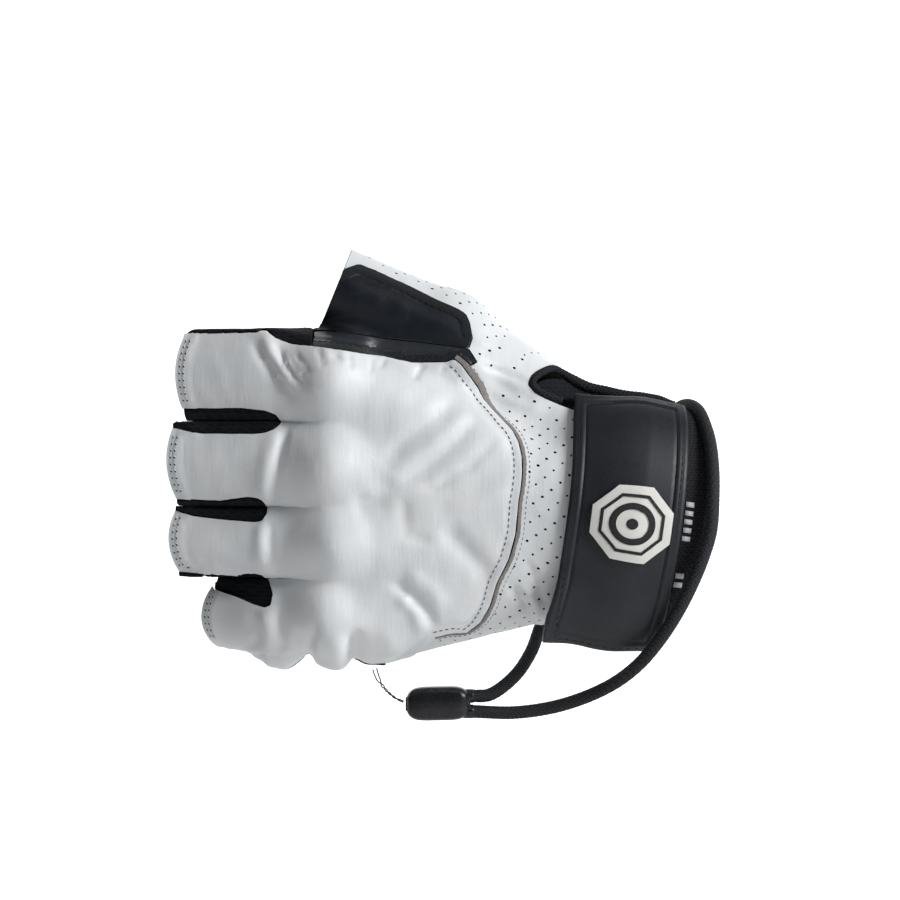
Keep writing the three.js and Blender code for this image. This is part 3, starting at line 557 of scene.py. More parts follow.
# Lines, frames along them, and what is laid along them.
def spline(rows, count):
    """Points at even steps along a centripetal spline through the rows."""
    rows = np.array(rows, dtype=float)
    ends = np.concatenate([[2 * rows[0] - rows[1]], rows, [2 * rows[-1] - rows[-2]]])
    fine = []
    for i in range(len(rows) - 1):
        p = ends[i:i + 4]
        d = np.maximum(np.linalg.norm(p[1:] - p[:-1], axis=1) ** 0.5, 1e-4)
        m1 = ((p[1] - p[0]) / d[0] - (p[2] - p[0]) / (d[0] + d[1]) + (p[2] - p[1]) / d[1]) * d[1]
        m2 = ((p[2] - p[1]) / d[1] - (p[3] - p[1]) / (d[1] + d[2]) + (p[3] - p[2]) / d[2]) * d[1]
        t = np.linspace(0, 1, 41)[:-1, None]
        fine.append(p[1] * (2 * t ** 3 - 3 * t ** 2 + 1) + m1 * (t ** 3 - 2 * t ** 2 + t)
            + p[2] * (3 * t ** 2 - 2 * t ** 3) + m2 * (t ** 3 - t ** 2))
    fine = np.concatenate([*fine, rows[-1:]])
    run = run_of(fine)
    at = np.linspace(0, run[-1], count + 1)
    return np.column_stack([np.interp(at, run, fine[:, k]) for k in range(3)])


def along_line(line):
    step = np.empty_like(line)
    step[1:-1] = line[2:] - line[:-2]
    step[0], step[-1] = line[1] - line[0], line[-1] - line[-2]
    return unit(step)


def free_frames(line):
    """Frames along a line in free space, which turn as little as they can."""
    way = along_line(line)
    side = np.empty_like(line)
    last = np.array([0, 1, 0]) if abs(way[0][1]) < 0.8 else np.array([1, 0, 0])
    for i, w in enumerate(way):
        last = unit(last - w * (last @ w))
        side[i] = last
    return line, side, np.cross(way, side)


def surface_frames(line):
    """Frames along a line on the skin, with up pointing out of it."""
    up = unit(slope(field, line))
    return line, unit(np.cross(up, along_line(line))), up


def on_relief(line, over=0.0, aside=0.0):
    """Frames on the back leather's own face, with its folds, over and aside of a line."""
    p, side, up = surface_frames(line)
    p = settle(p + side * aside)
    frames = surface_frames(p)
    return shifted(frames, lift=BACK_STEP + back_relief(p, frames[2]) + over)


def shifted(frames, aside=0, lift=0):
    p, side, up = frames
    return p + side * np.reshape(aside, (-1, 1)) + up * np.reshape(lift, (-1, 1)), side, up


def sweep(frames, profiles):
    """A closed tube: profiles is one ring of u v points, or one ring for each frame."""
    p, side, up = frames
    rings = np.asarray(profiles, dtype=float)
    if rings.ndim == 2:
        rings = np.repeat(rings[None], len(p), axis=0)
    points = p[:, None] + side[:, None] * rings[:, :, :1] + up[:, None] * rings[:, :, 1:]
    n, m = rings.shape[:2]
    i, j = np.meshgrid(np.arange(n - 1), np.arange(m), indexing="ij")
    a, b = i * m + j, i * m + (j + 1) % m
    quads = np.stack([a, b, b + m, a + m], -1).reshape(-1, 4)
    faces = quads.tolist() + [list(range(m))[::-1], [(n - 1) * m + k for k in range(m)]]
    return facing_out(points.reshape(-1, 3), faces)


def facing_out(points, faces):
    corner = np.array([[points[f[0]], points[f[1]], points[f[2]]] for f in faces])
    volume = np.einsum("ij,ij->i", corner[:, 0], np.cross(corner[:, 1], corner[:, 2])).sum()
    return points, faces if volume > 0 else [f[::-1] for f in faces]


def circle(r, n):
    return np.column_stack([r * np.cos(angles(n)), r * np.sin(angles(n))])


def rounded_bar(width, lo, hi, r):
    """A flat bar's section with its two upper corners rounded."""
    w = width / 2
    bend = [(r * (1 - math.cos(a)), r * (1 - math.sin(a))) for a in (1.57, 1.05, 0.52, 0)]
    right = [(w - r + (r - u), hi - v) for u, v in bend]
    return [(-w, lo), (w, lo), *right[::-1], *[(-u, v) for u, v in right]]


def onto_front(xz):
    """Points of the leather that look towards the back of the hand, at each x z."""
    p = np.column_stack([xz[:, 0], np.full(len(xz), -40.0), xz[:, -1]])
    for _ in range(60):
        p[:, 1] += np.clip(field(p) * 0.7, -1, 3)
    return p


def on_back(rows, count):
    return onto_front(spline([(x, 0, z) for x, z in rows], count))


def on_wrist(s, degrees):
    """Points at distance s along the wrist and an angle round it, in the shape of both."""
    s, degrees = np.broadcast_arrays(np.asarray(s, float), np.asarray(degrees, float))
    a = np.radians(degrees.reshape(-1))[:, None]
    way = WRIST_Z * np.cos(a) - WRIST_Y * np.sin(a)
    root = WRIST_X * s.reshape(-1)[:, None]
    r = np.full(len(root), 60.0)
    for _ in range(80):
        r -= np.clip(field(root + way * r[:, None]) * 0.55, -2, 3)
    return (root + way * r[:, None]).reshape(*s.shape, 3)


def grid_shell(p, hi, lo, closed):
    """A closed wall over a grid of points: shape rows x columns, rows closed in a ring or not."""
    rows, cols = p.shape[:2]
    n = unit(slope(field, p.reshape(-1, 3))).reshape(p.shape)
    hi, lo = np.broadcast_to(hi, (rows, cols)), np.broadcast_to(lo, (rows, cols))
    top = (p + n * hi[..., None]).reshape(-1, 3)
    low = (p + n * lo[..., None]).reshape(-1, 3)
    half = rows * cols
    span = rows if closed else rows - 1
    j, i = np.meshgrid(np.arange(span), np.arange(cols - 1), indexing="ij")
    a = j * cols + i
    d = (j + 1) % rows * cols + i
    quads = np.stack([a, d, d + 1, a + 1], -1).reshape(-1, 4)
    faces = quads.tolist() + (quads[:, ::-1] + half).tolist()
    for j in range(span):
        a, d = j * cols, (j + 1) % rows * cols
        b, c = a + cols - 1, d + cols - 1
        faces += [[a, a + half, d + half, d], [b, c, c + half, b + half]]
    if not closed:
        for i in range(cols - 1):
            a, c = i, (rows - 1) * cols + i
            faces += [[a, a + 1, a + 1 + half, a + half], [c, c + half, c + 1 + half, c + 1]]
    return facing_out(np.concatenate([top, low]), faces)


def capsule(p, way, up, length, r, flat):
    """A short thread with rounded ends, lying along way."""
    side = np.cross(up, way)
    rings = []
    for t, share in ((-0.5, 0.35), (-0.36, 0.9), (0, 1), (0.36, 0.9), (0.5, 0.35)):
        u, v = r * share * np.cos(angles(6)), r * share * flat * np.sin(angles(6))
        rings.append(p + way * (t * length) + side * u[:, None] + up * v[:, None])
    faces = [[i * 6 + j, i * 6 + (j + 1) % 6, (i + 1) * 6 + (j + 1) % 6, (i + 1) * 6 + j]
        for i in range(4) for j in range(6)]
    return np.concatenate(rings), faces + [[5, 4, 3, 2, 1, 0], [24, 25, 26, 27, 28, 29]]


def gather(parts):
    points, faces, count = [], [], 0
    for p, f in parts:
        points.append(p)
        faces += [[i + count for i in face] for face in f]
        count += len(p)
    return np.concatenate(points), faces


def stitches(frames, pitch, length, r, turn=0, lift=0, flat=1.0):
    """Threads at even steps along a line on the leather, each turned a little from it."""
    p, side, up = frames
    run = run_of(p)
    parts = []
    for at in np.arange(pitch / 2, run[-1], pitch):
        centre, across, over = (np.array([np.interp(at, run, v[:, m]) for m in range(3)])
            for v in (p, side, up))
        over = unit(over)
        way = unit(np.cross(across, over))
        way = unit(way * math.cos(turn) + unit(across) * math.sin(turn))
        parts.append(capsule(centre + over * lift, way, over, length, r, flat))
    return parts


# Materials, all on the object's own coordinates in metres.
class Look:
    def __init__(self, name, colour=(0.5, 0.5, 0.5), rough=0.5, **more):
        self.material = bpy.data.materials.new(name)
        self.material.use_nodes = True
        self.tree = self.material.node_tree
        self.bsdf = self.tree.nodes["Principled BSDF"]
        self.bsdf.inputs["Base Color"].default_value = (*colour, 1)
        self.bsdf.inputs["Roughness"].default_value = rough
        for key, value in more.items():
            self.bsdf.inputs[key.replace("_", " ")].default_value = value
        self.where = self.tree.nodes.new("ShaderNodeTexCoord").outputs["Object"]
        self.normal = None

    def link(self, a, b):
        self.tree.links.new(a, b)

    def node(self, kind, where=None, **inputs):
        """A new node that reads the object's coordinates, or where, with the named inputs set."""
        node = self.tree.nodes.new("ShaderNode" + kind)
        for key, value in inputs.items():
            node.inputs[key].default_value = value
        self.link(where or self.where, node.inputs["Vector"])
        return node

    def stretched(self, scale):
        return self.node("Mapping", Scale=scale).outputs["Vector"]

    def noise(self, scale, detail=2.0, where=None, rough=0.5):
        return self.node("TexNoise", where, Scale=scale, Detail=detail, Roughness=rough).outputs["Fac"]

    def cells(self, scale):
        node = self.node("TexVoronoi")
        node.feature = "SMOOTH_F1"
        node.inputs["Scale"].default_value = scale
        return node.outputs["Distance"]

    def waves(self, scale, direction):
        node = self.node("TexWave", Scale=scale)
        node.bands_direction = direction
        return node.outputs["Fac"]

    def larger(self, a, b):
        node = self.tree.nodes.new("ShaderNodeMath")
        node.operation = "MAXIMUM"
        self.link(a, node.inputs[0])
        self.link(b, node.inputs[1])
        return node.outputs[0]

    def bump(self, height, strength, distance):
        node = self.tree.nodes.new("ShaderNodeBump")
        node.inputs["Strength"].default_value = strength
        node.inputs["Distance"].default_value = distance
        self.link(height, node.inputs["Height"])
        if self.normal:
            self.link(self.normal, node.inputs["Normal"])
        self.normal = node.outputs["Normal"]
        self.link(self.normal, self.bsdf.inputs["Normal"])

    def ramp(self, source, socket, low, high, span=(0.3, 0.7)):
        """Drives one input of the surface between two values, or two colours."""
        node = self.tree.nodes.new("ShaderNodeValToRGB")
        for element, at, value in zip(node.color_ramp.elements, span, (low, high)):
            element.position = at
            element.color = (*np.broadcast_to(value, 3), 1)
        self.link(source, node.inputs["Fac"])
        self.link(node.outputs["Color"], self.bsdf.inputs[socket])

    def colour_from(self, source, dark, light, span=(0.3, 0.7)):
        self.ramp(source, "Base Color", dark, light, span)

    def rough_from(self, source, low, high):
        self.ramp(source, "Roughness", low, high)


def leather(name, dark, light, rough, pebble, depth, streaks, specular):
    look = Look(name, Specular_IOR_Level=specular)
    look.colour_from(look.noise(60, 4), dark, light)
    look.rough_from(look.noise(420, 3), rough - 0.05, rough + 0.07)
    look.bump(look.noise(170, 4, look.stretched((5.5, 1, 0.8))), streaks, 0.00026)
    look.bump(look.cells(pebble), 0.25, depth)
    look.bump(look.noise(3800, 2), 0.2, depth * 0.5)
    return look.material


def strap_look():
    look = Look("strap_leather", rough=0.48, Specular_IOR_Level=0.45)
    look.colour_from(look.noise(90, 3), (0.006, 0.0085, 0.013), (0.010, 0.013, 0.018))
    look.rough_from(look.noise(700, 2), 0.46, 0.56)
    look.bump(look.cells(1700), 0.3, 0.00006)
    look.bump(look.noise(5000, 2), 0.25, 0.00005)
    return look.material


def suede(name, dark, light):
    look = Look(name, rough=0.95, Specular_IOR_Level=0.15, Sheen_Weight=0.3)
    look.colour_from(look.noise(2600, 5, rough=0.7), dark, light)
    look.bump(look.noise(5200, 4), 0.7, 0.00012)
    return look.material


def woven(name, dark, light, scale, rough=0.85):
    look = Look(name, rough=rough, Specular_IOR_Level=0.2)
    weave = look.larger(look.waves(scale, "Z"), look.waves(scale, "DIAGONAL"))
    look.colour_from(weave, dark, light, (0.2, 0.9))
    look.bump(weave, 0.5, 0.00012)
    look.bump(look.noise(2500, 3), 0.35, 0.00015)
    return look.material


def thread(name, dark, light):
    look = Look(name, rough=0.7, Specular_IOR_Level=0.25)
    look.colour_from(look.noise(3000, 2), dark, light)
    look.bump(look.waves(1600, "DIAGONAL"), 0.5, 0.00008)
    return look.material


def rubber(name, dark, light, rough):
    look = Look(name, rough=rough, Specular_IOR_Level=0.4)
    look.colour_from(look.noise(150, 4), dark, light)
    look.rough_from(look.noise(900, 3), rough - 0.06, rough + 0.08)
    look.bump(look.noise(3200, 2), 0.15, 0.00005)
    return look.material


WHITE = leather("white_leather", (0.70, 0.725, 0.745), (0.77, 0.787, 0.80),
    rough=0.48, pebble=1500, depth=0.00009, streaks=0.3, specular=0.4)
WHITE_CUFF = leather("perforated_leather", (0.68, 0.705, 0.72), (0.745, 0.762, 0.775),
    rough=0.46, pebble=1250, depth=0.0001, streaks=0.25, specular=0.4)
BLACK = leather("black_leather", (0.005, 0.0065, 0.010), (0.013, 0.016, 0.022),
    rough=0.38, pebble=1300, depth=0.00012, streaks=0.06, specular=0.22)
# A lighter, glossier copy of the black leather for the web: painted sheen, the same leather shown as lit.
WEB_SHEEN = leather("web_leather_painted_sheen", (0.016, 0.019, 0.024), (0.030, 0.034, 0.040),
    rough=0.38, pebble=1300, depth=0.00012, streaks=0.06, specular=0.4)
STRAP = strap_look()
RAW = suede("raw_edge", (0.13, 0.12, 0.115), (0.36, 0.335, 0.315))
FLESH = suede("flesh_side", (0.30, 0.30, 0.30), (0.46, 0.455, 0.45))
FUZZY = suede("patch_border", (0.004, 0.005, 0.007), (0.016, 0.018, 0.022))
# Near-black for the walls of the cuff's holes and for the needle holes: painted shade inside the holes,
# darker than the leather's cut edge.
HOLE_SHADE = Look("hole_wall_painted_shade", (0.012, 0.012, 0.014), 0.95).material
STRETCH = woven("black_stretch", (0.003, 0.004, 0.006), (0.009, 0.010, 0.013), 260)
BINDING = woven("black_binding", (0.006, 0.006, 0.008), (0.02, 0.021, 0.025), 380)
CORD_LOOK = woven("braided_cord", (0.008, 0.0085, 0.010), (0.03, 0.032, 0.036), 520, 0.7)
PALE_THREAD = thread("pale_thread", (0.62, 0.64, 0.66), (0.74, 0.755, 0.77))
DARK_THREAD = thread("dark_thread", (0.010, 0.011, 0.013), (0.03, 0.032, 0.036))
GREY_THREAD = thread("seam_thread", (0.07, 0.075, 0.09), (0.18, 0.19, 0.215))
PALE_RUBBER = rubber("pale_rubber", (0.66, 0.655, 0.62), (0.74, 0.735, 0.70), 0.55)
PLASTIC = rubber("black_plastic", (0.010, 0.0105, 0.012), (0.015, 0.016, 0.018), 0.24)


# Creases and swellings of the back leather, as width, height and x z points along each.
FOLDS = [
    (1.9, 0.9, [(-123.4, 57.2), (-120.2, 50), (-116.8, 44.6), (-112.6, 39.4)]),
    (1.3, -0.8, [(-126.4, 54.6), (-123.6, 50), (-120.4, 45.4), (-116.2, 40.6), (-112.8, 37)]),
    (0.9, -0.75, [(-119.6, 53), (-116.6, 48.2), (-113, 43.8), (-109.6, 40.6)]),
    (0.7, 0.5, [(-117.4, 50.4), (-114.2, 46.2), (-110.8, 42.6)]),
    (0.6, -0.5, [(-113.6, 50.8), (-110.6, 46.8), (-108.6, 44.6)]),
    (0.5, 0.3, [(-112, 48.2), (-109.6, 45.4)]),
    (0.5, -0.35, [(-111.6, 45), (-109.8, 42.8), (-108.8, 40.8)]),
    (0.8, -0.4, [(-107, 51.8), (-106, 48.8), (-105.2, 46)]),
    (0.8, -0.35, [(-103, 51.5), (-102.2, 48.2)]),
    (2.4, 0.7, [(-118.4, 31), (-120.4, 23), (-122.4, 14), (-123, 7)]),
    (1.3, -0.8, [(-115.6, 30.5), (-117.4, 23), (-119.4, 14), (-120.4, 6.5)]),
    (2.2, 0.6, [(-123.3, 2.5), (-123.8, -3), (-123.5, -10.5)]),
    (1.2, -0.6, [(-120.8, 3), (-121.2, -3), (-120.9, -11)]),
    (1.5, -0.8, [(-118.8, -23), (-117.6, -29), (-118, -37)]),
    (2.2, 0.6, [(-122.6, -22.5), (-122, -29), (-122.8, -36)]),
    (1.2, -0.5, [(-126.6, -25), (-125.2, -30), (-125.6, -35)]),
    (1.3, -0.6, [(-110.4, -36), (-108.2, -30.5), (-107.6, -26)]),
    (3.6, -0.8, [(-86, 16), (-90, 8), (-98, 7)]),
    (2.0, -0.4, [(-82.8, 10.8), (-82.4, 5), (-81.6, -1.2), (-77.5, -2.9), (-72.8, -3.4)]),
    (3.2, -0.9, [(-72, 1), (-66, -4.6), (-60, -11), (-57.8, -16)]),
    (1.7, -0.9, [(-86.4, -14.6), (-80.6, -18.8), (-75.4, -24.2), (-73.2, -29.2)]),
    (2.0, 0.55, [(-84.4, -18.6), (-79.4, -23.4), (-77.4, -29.6)]),
    (2.4, 0.5, [(-82.6, -11.4), (-76, -16.2), (-70, -22.4)]),
    (2.4, -0.5, [(-65.8, 37.5), (-74.6, 31.4), (-83.6, 24.4), (-89.6, 17.2)]),
    (2.2, 0.4, [(-63.4, 34), (-71, 27.6), (-80.4, 20.2), (-88, 13.4)]),
    (2.0, -0.45, [(-60.4, 32.4), (-67.6, 25), (-77.2, 16.6), (-85.4, 12.2)]),
    (1.6, -0.4, [(-55.6, 26.2), (-63.4, 18.6), (-73.4, 12.2), (-80.4, 12.6)]),
    (2.6, 0.4, [(-52, 12), (-62, 8.4), (-72, 7)]),
    (0.7, -0.4, [(-102.4, 50.6), (-100.6, 47.6)]),
    (0.7, -0.4, [(-88.3, 49), (-89.4, 46.2)]),
    (0.6, -0.35, [(-92, 49.4), (-92.4, 44.4)]),
    (0.8, -0.45, [(-76.6, 48), (-78.4, 45.6), (-80, 42.4)]),
    (0.7, -0.3, [(-70.4, 48), (-72, 45.4)]),
    (0.8, -0.35, [(-98.6, 50.4), (-97.8, 45.6)]),
]
SIDE_FOLDS = [
    (-124.5, 1.6, -0.8), (-113, 2.4, -0.9), (-110.2, 1.6, -1.1), (-97, 2.4, -2.6),
    (-75.5, 2.2, 0.7), (-118, 1.8, 0.6), (-102.6, 2.6, 0.5), (-86.6, 3.6, 0.6),
]
KNUCKLES = [(-103.5, 42.5, 1.2), (-103, 18.5, 1.04), (-101.5, -3, 0.96), (-105.5, -22.5, 0.8)]
CUFF_FOLDS = [
    (1.3, -0.7, [(-52.4, -16), (-47.6, -21.6), (-44.6, -29)]),
    (1.3, 0.7, [(-49.4, -14.6), (-44.8, -21), (-41.6, -29.4)]),
    (1.0, -0.5, [(-47.6, -8), (-44, -16), (-41.2, -24)]),
    (0.9, -0.6, [(-60.8, 47.9), (-54, 45.4), (-46.4, 42.6)]),
    (1.6, -0.5, [(-58, 43.8), (-51, 39.4), (-44, 37.8)]),
    (1.4, 0.4, [(-57.4, 40.4), (-50.6, 36.4), (-42, 34.2)]),
    (1.8, -0.5, [(-70, 60.5), (-63, 53.6), (-55, 49)]),
]
PALM_FOLDS = [
    (1.6, -0.9, [(-104, 40), (-92, 26), (-78, 14), (-60, 8)]),
    (1.6, -0.8, [(-108, 24), (-96, 8), (-92, -8), (-96, -24)]),
    (1.4, -0.7, [(-66, 46), (-72, 30), (-66, 12), (-52, 2)]),
    (1.2, -0.5, [(-118, 34), (-116, 6), (-118, -24)]),
    (1.3, -0.5, [(-134, 34), (-135, 6), (-133, -22)]),
]


def polyline(points, x, z):
    """Distance to a line of x z points, and the share of its length at the nearest place."""
    pts = np.array(points, dtype=float)
    run = run_of(pts)
    best, share = np.full(len(x), 1e9), np.zeros(len(x))
    for i in range(len(pts) - 1):
        d = pts[i + 1] - pts[i]
        t = np.clip(((x - pts[i, 0]) * d[0] + (z - pts[i, 1]) * d[1]) / (d @ d), 0, 1)
        far = np.hypot(x - pts[i, 0] - d[0] * t, z - pts[i, 1] - d[1] * t)
        near = far < best
        best = np.where(near, far, best)
        share = np.where(near, (run[i] + (run[i + 1] - run[i]) * t) / run[-1], share)
    return best, share


def noise_at(p, scale, seed=0.0):
    scale = np.broadcast_to(scale, 3)
    return np.array([noise.noise(Vector((a * scale[0] + seed, b * scale[1], c * scale[2])))
        for a, b, c in p])


def creases(p, rows):
    """Folds along lines of x z points, each fading at its ends: width, height, line."""
    total = np.zeros(len(p))
    for width, height, points in rows:
        far, share = polyline(points, p[:, 0], p[:, 2])
        total += (height * bell(far, 0, width)
            * smoothstep(-0.05, 0.25, share) * smoothstep(1.05, 0.75, share))
    return total


def side_folds(p):
    """Hollows across the outer side of the hand: middle, width, depth."""
    total = sum(depth * bell(p[:, 0], middle, width) for middle, width, depth in SIDE_FOLDS)
    return total * smoothstep(-27, -33, p[:, 2])


def back_relief(p, n):
    x, z = p[:, 0], p[:, 2]
    front = smoothstep(0.1, -0.35, n[:, 1])
    total = creases(p, FOLDS)
    for kx, kz, height in KNUCKLES:
        total += height * bell(x, kx, 8) * bell(z, kz, 7.5)
    total += 0.22 * noise_at(p, 0.09) + 0.12 * noise_at(p, (0.22, 0.2, 0.14), 7)
    total = 1.25 * total * front + side_folds(p)
    hem = hems(p)
    total *= smoothstep(3, 7, hem)
    total += 0.22 * smoothstep(4.9, 4.3, hem) - 0.14 * bell(hem, 1.7, 0.9)
    edge, _ = polyline(CUFF_SEAM, x, z)
    total *= smoothstep(0.5, 4.5, edge)
    return total + front * (-0.24 * bell(edge, 2.4, 0.7) + 0.1 * smoothstep(2.4, 0.8, edge))


def cuff_relief(p, n):
    total = 0.18 * noise_at(p, 0.12, 3) + 0.1 * noise_at(p, 0.3, 9)
    total += creases(p, CUFF_FOLDS) * (n[:, 1] < 0.2)
    return total * smoothstep(0.4, 3, -SEAMS["back"](p)) * smoothstep(0, 3, SEAMS["cuff_end"](p))


def above_web(p):
    """How far a point lies above the patch's lower seam."""
    return p[:, 2] - 58.9 + 0.145 * (p[:, 0] + 108.9)


def patch_relief(p, n):
    edge = SEAMS["patch"](p)
    rim = smoothstep(2, 4.5, above_web(p))
    return (rim * (0.3 * smoothstep(2.7, 2.3, edge) - 0.25 * bell(edge, 2.7, 0.4))
        + 0.35 * smoothstep(3, 7, edge) + 0.15 * noise_at(p, 0.2, 5))


def palm_relief(p, n):
    x, z = p[:, 0], p[:, 2]
    total = 0.35 * noise_at(p, 0.07, 11) + 0.2 * noise_at(p, (0.2, 0.2, 0.12), 13)
    total += creases(p, PALM_FOLDS) * smoothstep(0.1, 0.5, n[:, 1])
    total += side_folds(p) + 0.8 * (smoothstep(-136, -132, x) * smoothstep(-106, -112, x)
        * smoothstep(-28, -33, z) * smoothstep(0.9, 0.5, np.abs(n[:, 1])))
    edge = -SEAMS["back"](p)
    upper = (smoothstep(38, 42, z) * smoothstep(0.5, 0.2, n[:, 1])
        * smoothstep(-124, -120, x) * smoothstep(-58, -64, x))
    total += upper * (0.3 * smoothstep(2.7, 2.3, edge) - 0.3 * bell(edge, 2.8, 0.4))
    total += 0.5 * upper * smoothstep(-112, -107, x) * smoothstep(2, 4, edge)
    return total * smoothstep(0, 2.5, hems(p)) * smoothstep(0, 3, SEAMS["cuff_end"](p))


def gusset_relief(p, n):
    """Two soft rolls in each gap between fingers, which meet in its middle."""
    gap = np.abs(p[:, 2:3] - np.array([31.3, 6.7, -13.9])).min(1)
    swell = (1.7 + 0.3 * noise_at(p, (0.12, 0.3, 0.3), 17)) * smoothstep(5, 1, gap)
    swell += 1.2 * smoothstep(7, 1, hems(p)) * smoothstep(4, 2, gap)
    swell *= smoothstep(-108, -117, p[:, 0]) * smoothstep(-0.4, 0.5, hems(p))
    return np.minimum(swell, 0.6 + (gap - 0.04) / np.maximum(np.abs(n[:, 2]), 0.15))


def side_relief(p, n):
    ridge = 1.1 * smoothstep(0.7, 0.95, n[:, 2]) * smoothstep(-0.2, 1.5, hems(p))
    return 0.5 * smoothstep(0, 3, hems(p)) + 0.2 * noise_at(p, (0.25, 0.2, 0.2), 19) + ridge


def shell_piece(name, part, levels, relief, looks, node, marked=None, rank=1):
    """A piece of the skin: looks are for its face, its inner side and its rim, the last one
    also for marked faces."""
    points, tris, border = wall(part, *levels, relief, rank)
    n = len(border)
    which = np.zeros(len(tris), int)
    which[n:2 * n] = 1
    if len(looks) == 3:
        which[2 * n:] = 2
    if marked:
        which[:n][marked(points[tris[:n]].mean(1), border)] = len(looks) - 1
    return mesh_piece(name, (points, tris), looks, which, node, SHARP)


PALM_LEVELS = (0, -LEATHER)
GUSSETS = [("index_gusset", "index_side", (-0.2, -1.4), side_relief),
    ("finger_gusset_1", "fourchette_1", (-0.6, -1.6), gusset_relief),
    ("finger_gusset_2", "fourchette_2", (-0.6, -1.6), gusset_relief),
    ("finger_gusset_3", "fourchette_3", (-0.7, -1.6), gusset_relief),
    ("slit_lining", "slit_gusset", (-0.9, -2), None)]
shell_piece("back_leather", "back_panel", (BACK_STEP, -0.9), back_relief, [WHITE, FLESH, WHITE],
    "back_panel")
cuff = shell_piece("perforated_cuff", "wrist_panel", PALM_LEVELS, cuff_relief,
    [WHITE_CUFF, FLESH, FLESH], "wrist_panel")
shell_piece("palm_leather", "palm_panel", PALM_LEVELS, palm_relief, [BLACK, FUZZY, BLACK],
    "palm_panel")
shell_piece("thumb_leather", "thumb_patch", (0.5, -0.9), patch_relief, [BLACK, FUZZY, FUZZY],
    "thumb_patch", lambda middle, border: border & (above_web(middle) > 2.6))
for name, part, levels, relief in GUSSETS:
    shell_piece(name, part, levels, relief, [STRETCH] * 3, part)

# The web between thumb and index finger, a smaller patch of the palm's leather, in a lighter copy of the
# black leather: painted sheen where the web catches light.
shell_piece("web_leather_painted_sheen", "palm_panel", PALM_LEVELS, palm_relief, [WEB_SHEEN, FUZZY],
    None, lambda middle, border: SEAMS["back"](middle) > -2.3, 2)

# The holes of the cuff leather: rows on a slant, round the wrist and along the thumb.
ROW_A, ROW_B = np.array([-2.32, 2.32]), np.array([2.2, 3.68])
wrist_degrees = np.arange(0, 361, 3.0)
wrist_run = run_of(on_wrist(-40, wrist_degrees))


def cuff_leather(p, margin):
    """Whether points lie on the cuff leather, clear of its edges and of the strap."""
    s = p @ AXIS
    on = (SEAMS["back"](p) < -margin) & (SEAMS["patch"](p) < -margin) & (SEAMS["web"](p) < -margin)
    on &= (SEAMS["slit_rim"](p) < -1.6) & (SEAMS["palm"](p) < -1.6) & (SEAMS["fingers"](p) < 0)
    on &= ((p[:, 0] > -87) | (p[:, 2] > 54)) & (thumb_hem(p) > 4.2) & (s < STRAP_FROM + 1)
    return on


def hole_grid(start, along, across):
    """Places of holes on flat leather, between two limits each way, and each one's row."""
    i, j = np.meshgrid(np.arange(-60, 60), np.arange(-40, 60), indexing="ij")
    st = i.reshape(-1, 1) * ROW_A + j.reshape(-1, 1) * ROW_B + np.array(start)
    use = ((st[:, 0] > along[0]) & (st[:, 0] < along[1])
        & (st[:, 1] > across[0]) & (st[:, 1] < across[1]))
    return st[use], j.reshape(-1)[use]


def above_thumb_line(p):
    return p[:, 2] - 0.55 * (p[:, 0] + 60)


def wrist_holes():
    st, row = hole_grid((-40, 62), (-76, STRAP_FROM + 2), (0, wrist_run[-1]))
    p = on_wrist(st[:, 0], np.interp(st[:, 1], wrist_run, wrist_degrees))
    good = (above_thumb_line(p) < 47) & cuff_leather(p, 1.9)
    return p[good], row[good]


def thumb_holes():
    root, tip = np.array([-58, 5, 48]), np.array([-116, 1, 75])
    axis = unit(tip - root)
    over = unit(np.array([0, -1, 0]) + axis * axis[1])
    st, row = hole_grid((0, 0), (-2, 52), (-46, 46))
    a = st[:, 1:] / 14.5
    way = over * np.cos(a) + np.cross(axis, over) * np.sin(a)
    foot = root + axis * st[:, :1]
    r = np.full(len(st), 30.0)
    for _ in range(70):
        r -= np.clip(field(foot + way * r[:, None]) * 0.6, -2, 2)
    p = foot + way * r[:, None]
    good = (above_thumb_line(p) > 48.5) & (np.abs(field(p)) < 0.1) & cuff_leather(p, 1.9)
    return p[good], row[good]


def hole_cutter(p, n, odd):
    """An eight-sided plug through the leather, wider and flatter in odd rows."""
    r = (0.5 if odd else 0.36) * (1 + 0.16 * noise.noise(Vector(p * 0.9)))
    side = unit(np.cross(n, [0.3, 0.2, 1]))
    u, v = circle(r, 8).T
    ring = side * u[:, None] + np.cross(n, side) * (v * (0.8 if odd else 1))[:, None]
    faces = [[m, m + 8, (m + 1) % 8 + 8, (m + 1) % 8] for m in range(8)]
    points = np.concatenate([p + ring + n * 1.6, p + ring * 0.86 - n * 2.3])
    return points, [list(range(8)), list(range(15, 7, -1)), *faces]


def pierce(cuff):
    cutters = []
    for p, row in (wrist_holes(), thumb_holes()):
        cutters += [hole_cutter(*each) for each in zip(p, unit(slope(field, p)), row % 2)]
    points, faces = facing_out(*gather(cutters))
    mesh = bpy.data.meshes.new("holes")
    mesh.from_pydata((points * 0.001).tolist(), [], faces)
    # The cutter's near-black material goes onto the hole walls: painted shade inside the holes.
    mesh.materials.append(HOLE_SHADE)
    cutter = bpy.data.objects.new("holes", mesh)
    bpy.context.scene.collection.objects.link(cutter)
    cuff.data.materials.append(HOLE_SHADE)
    modifier = cuff.modifiers.new("holes", "BOOLEAN")
    modifier.operation = "DIFFERENCE"
    modifier.object = cutter
    modifier.solver = "MANIFOLD"
    evaluated = cuff.evaluated_get(bpy.context.evaluated_depsgraph_get())
    pierced = bpy.data.meshes.new_from_object(evaluated)
    cuff.modifiers.clear()
    cuff.data = pierced
    pierced.set_sharp_from_angle(angle=math.radians(SHARP))
    bpy.data.objects.remove(cutter)


pierce(cuff)

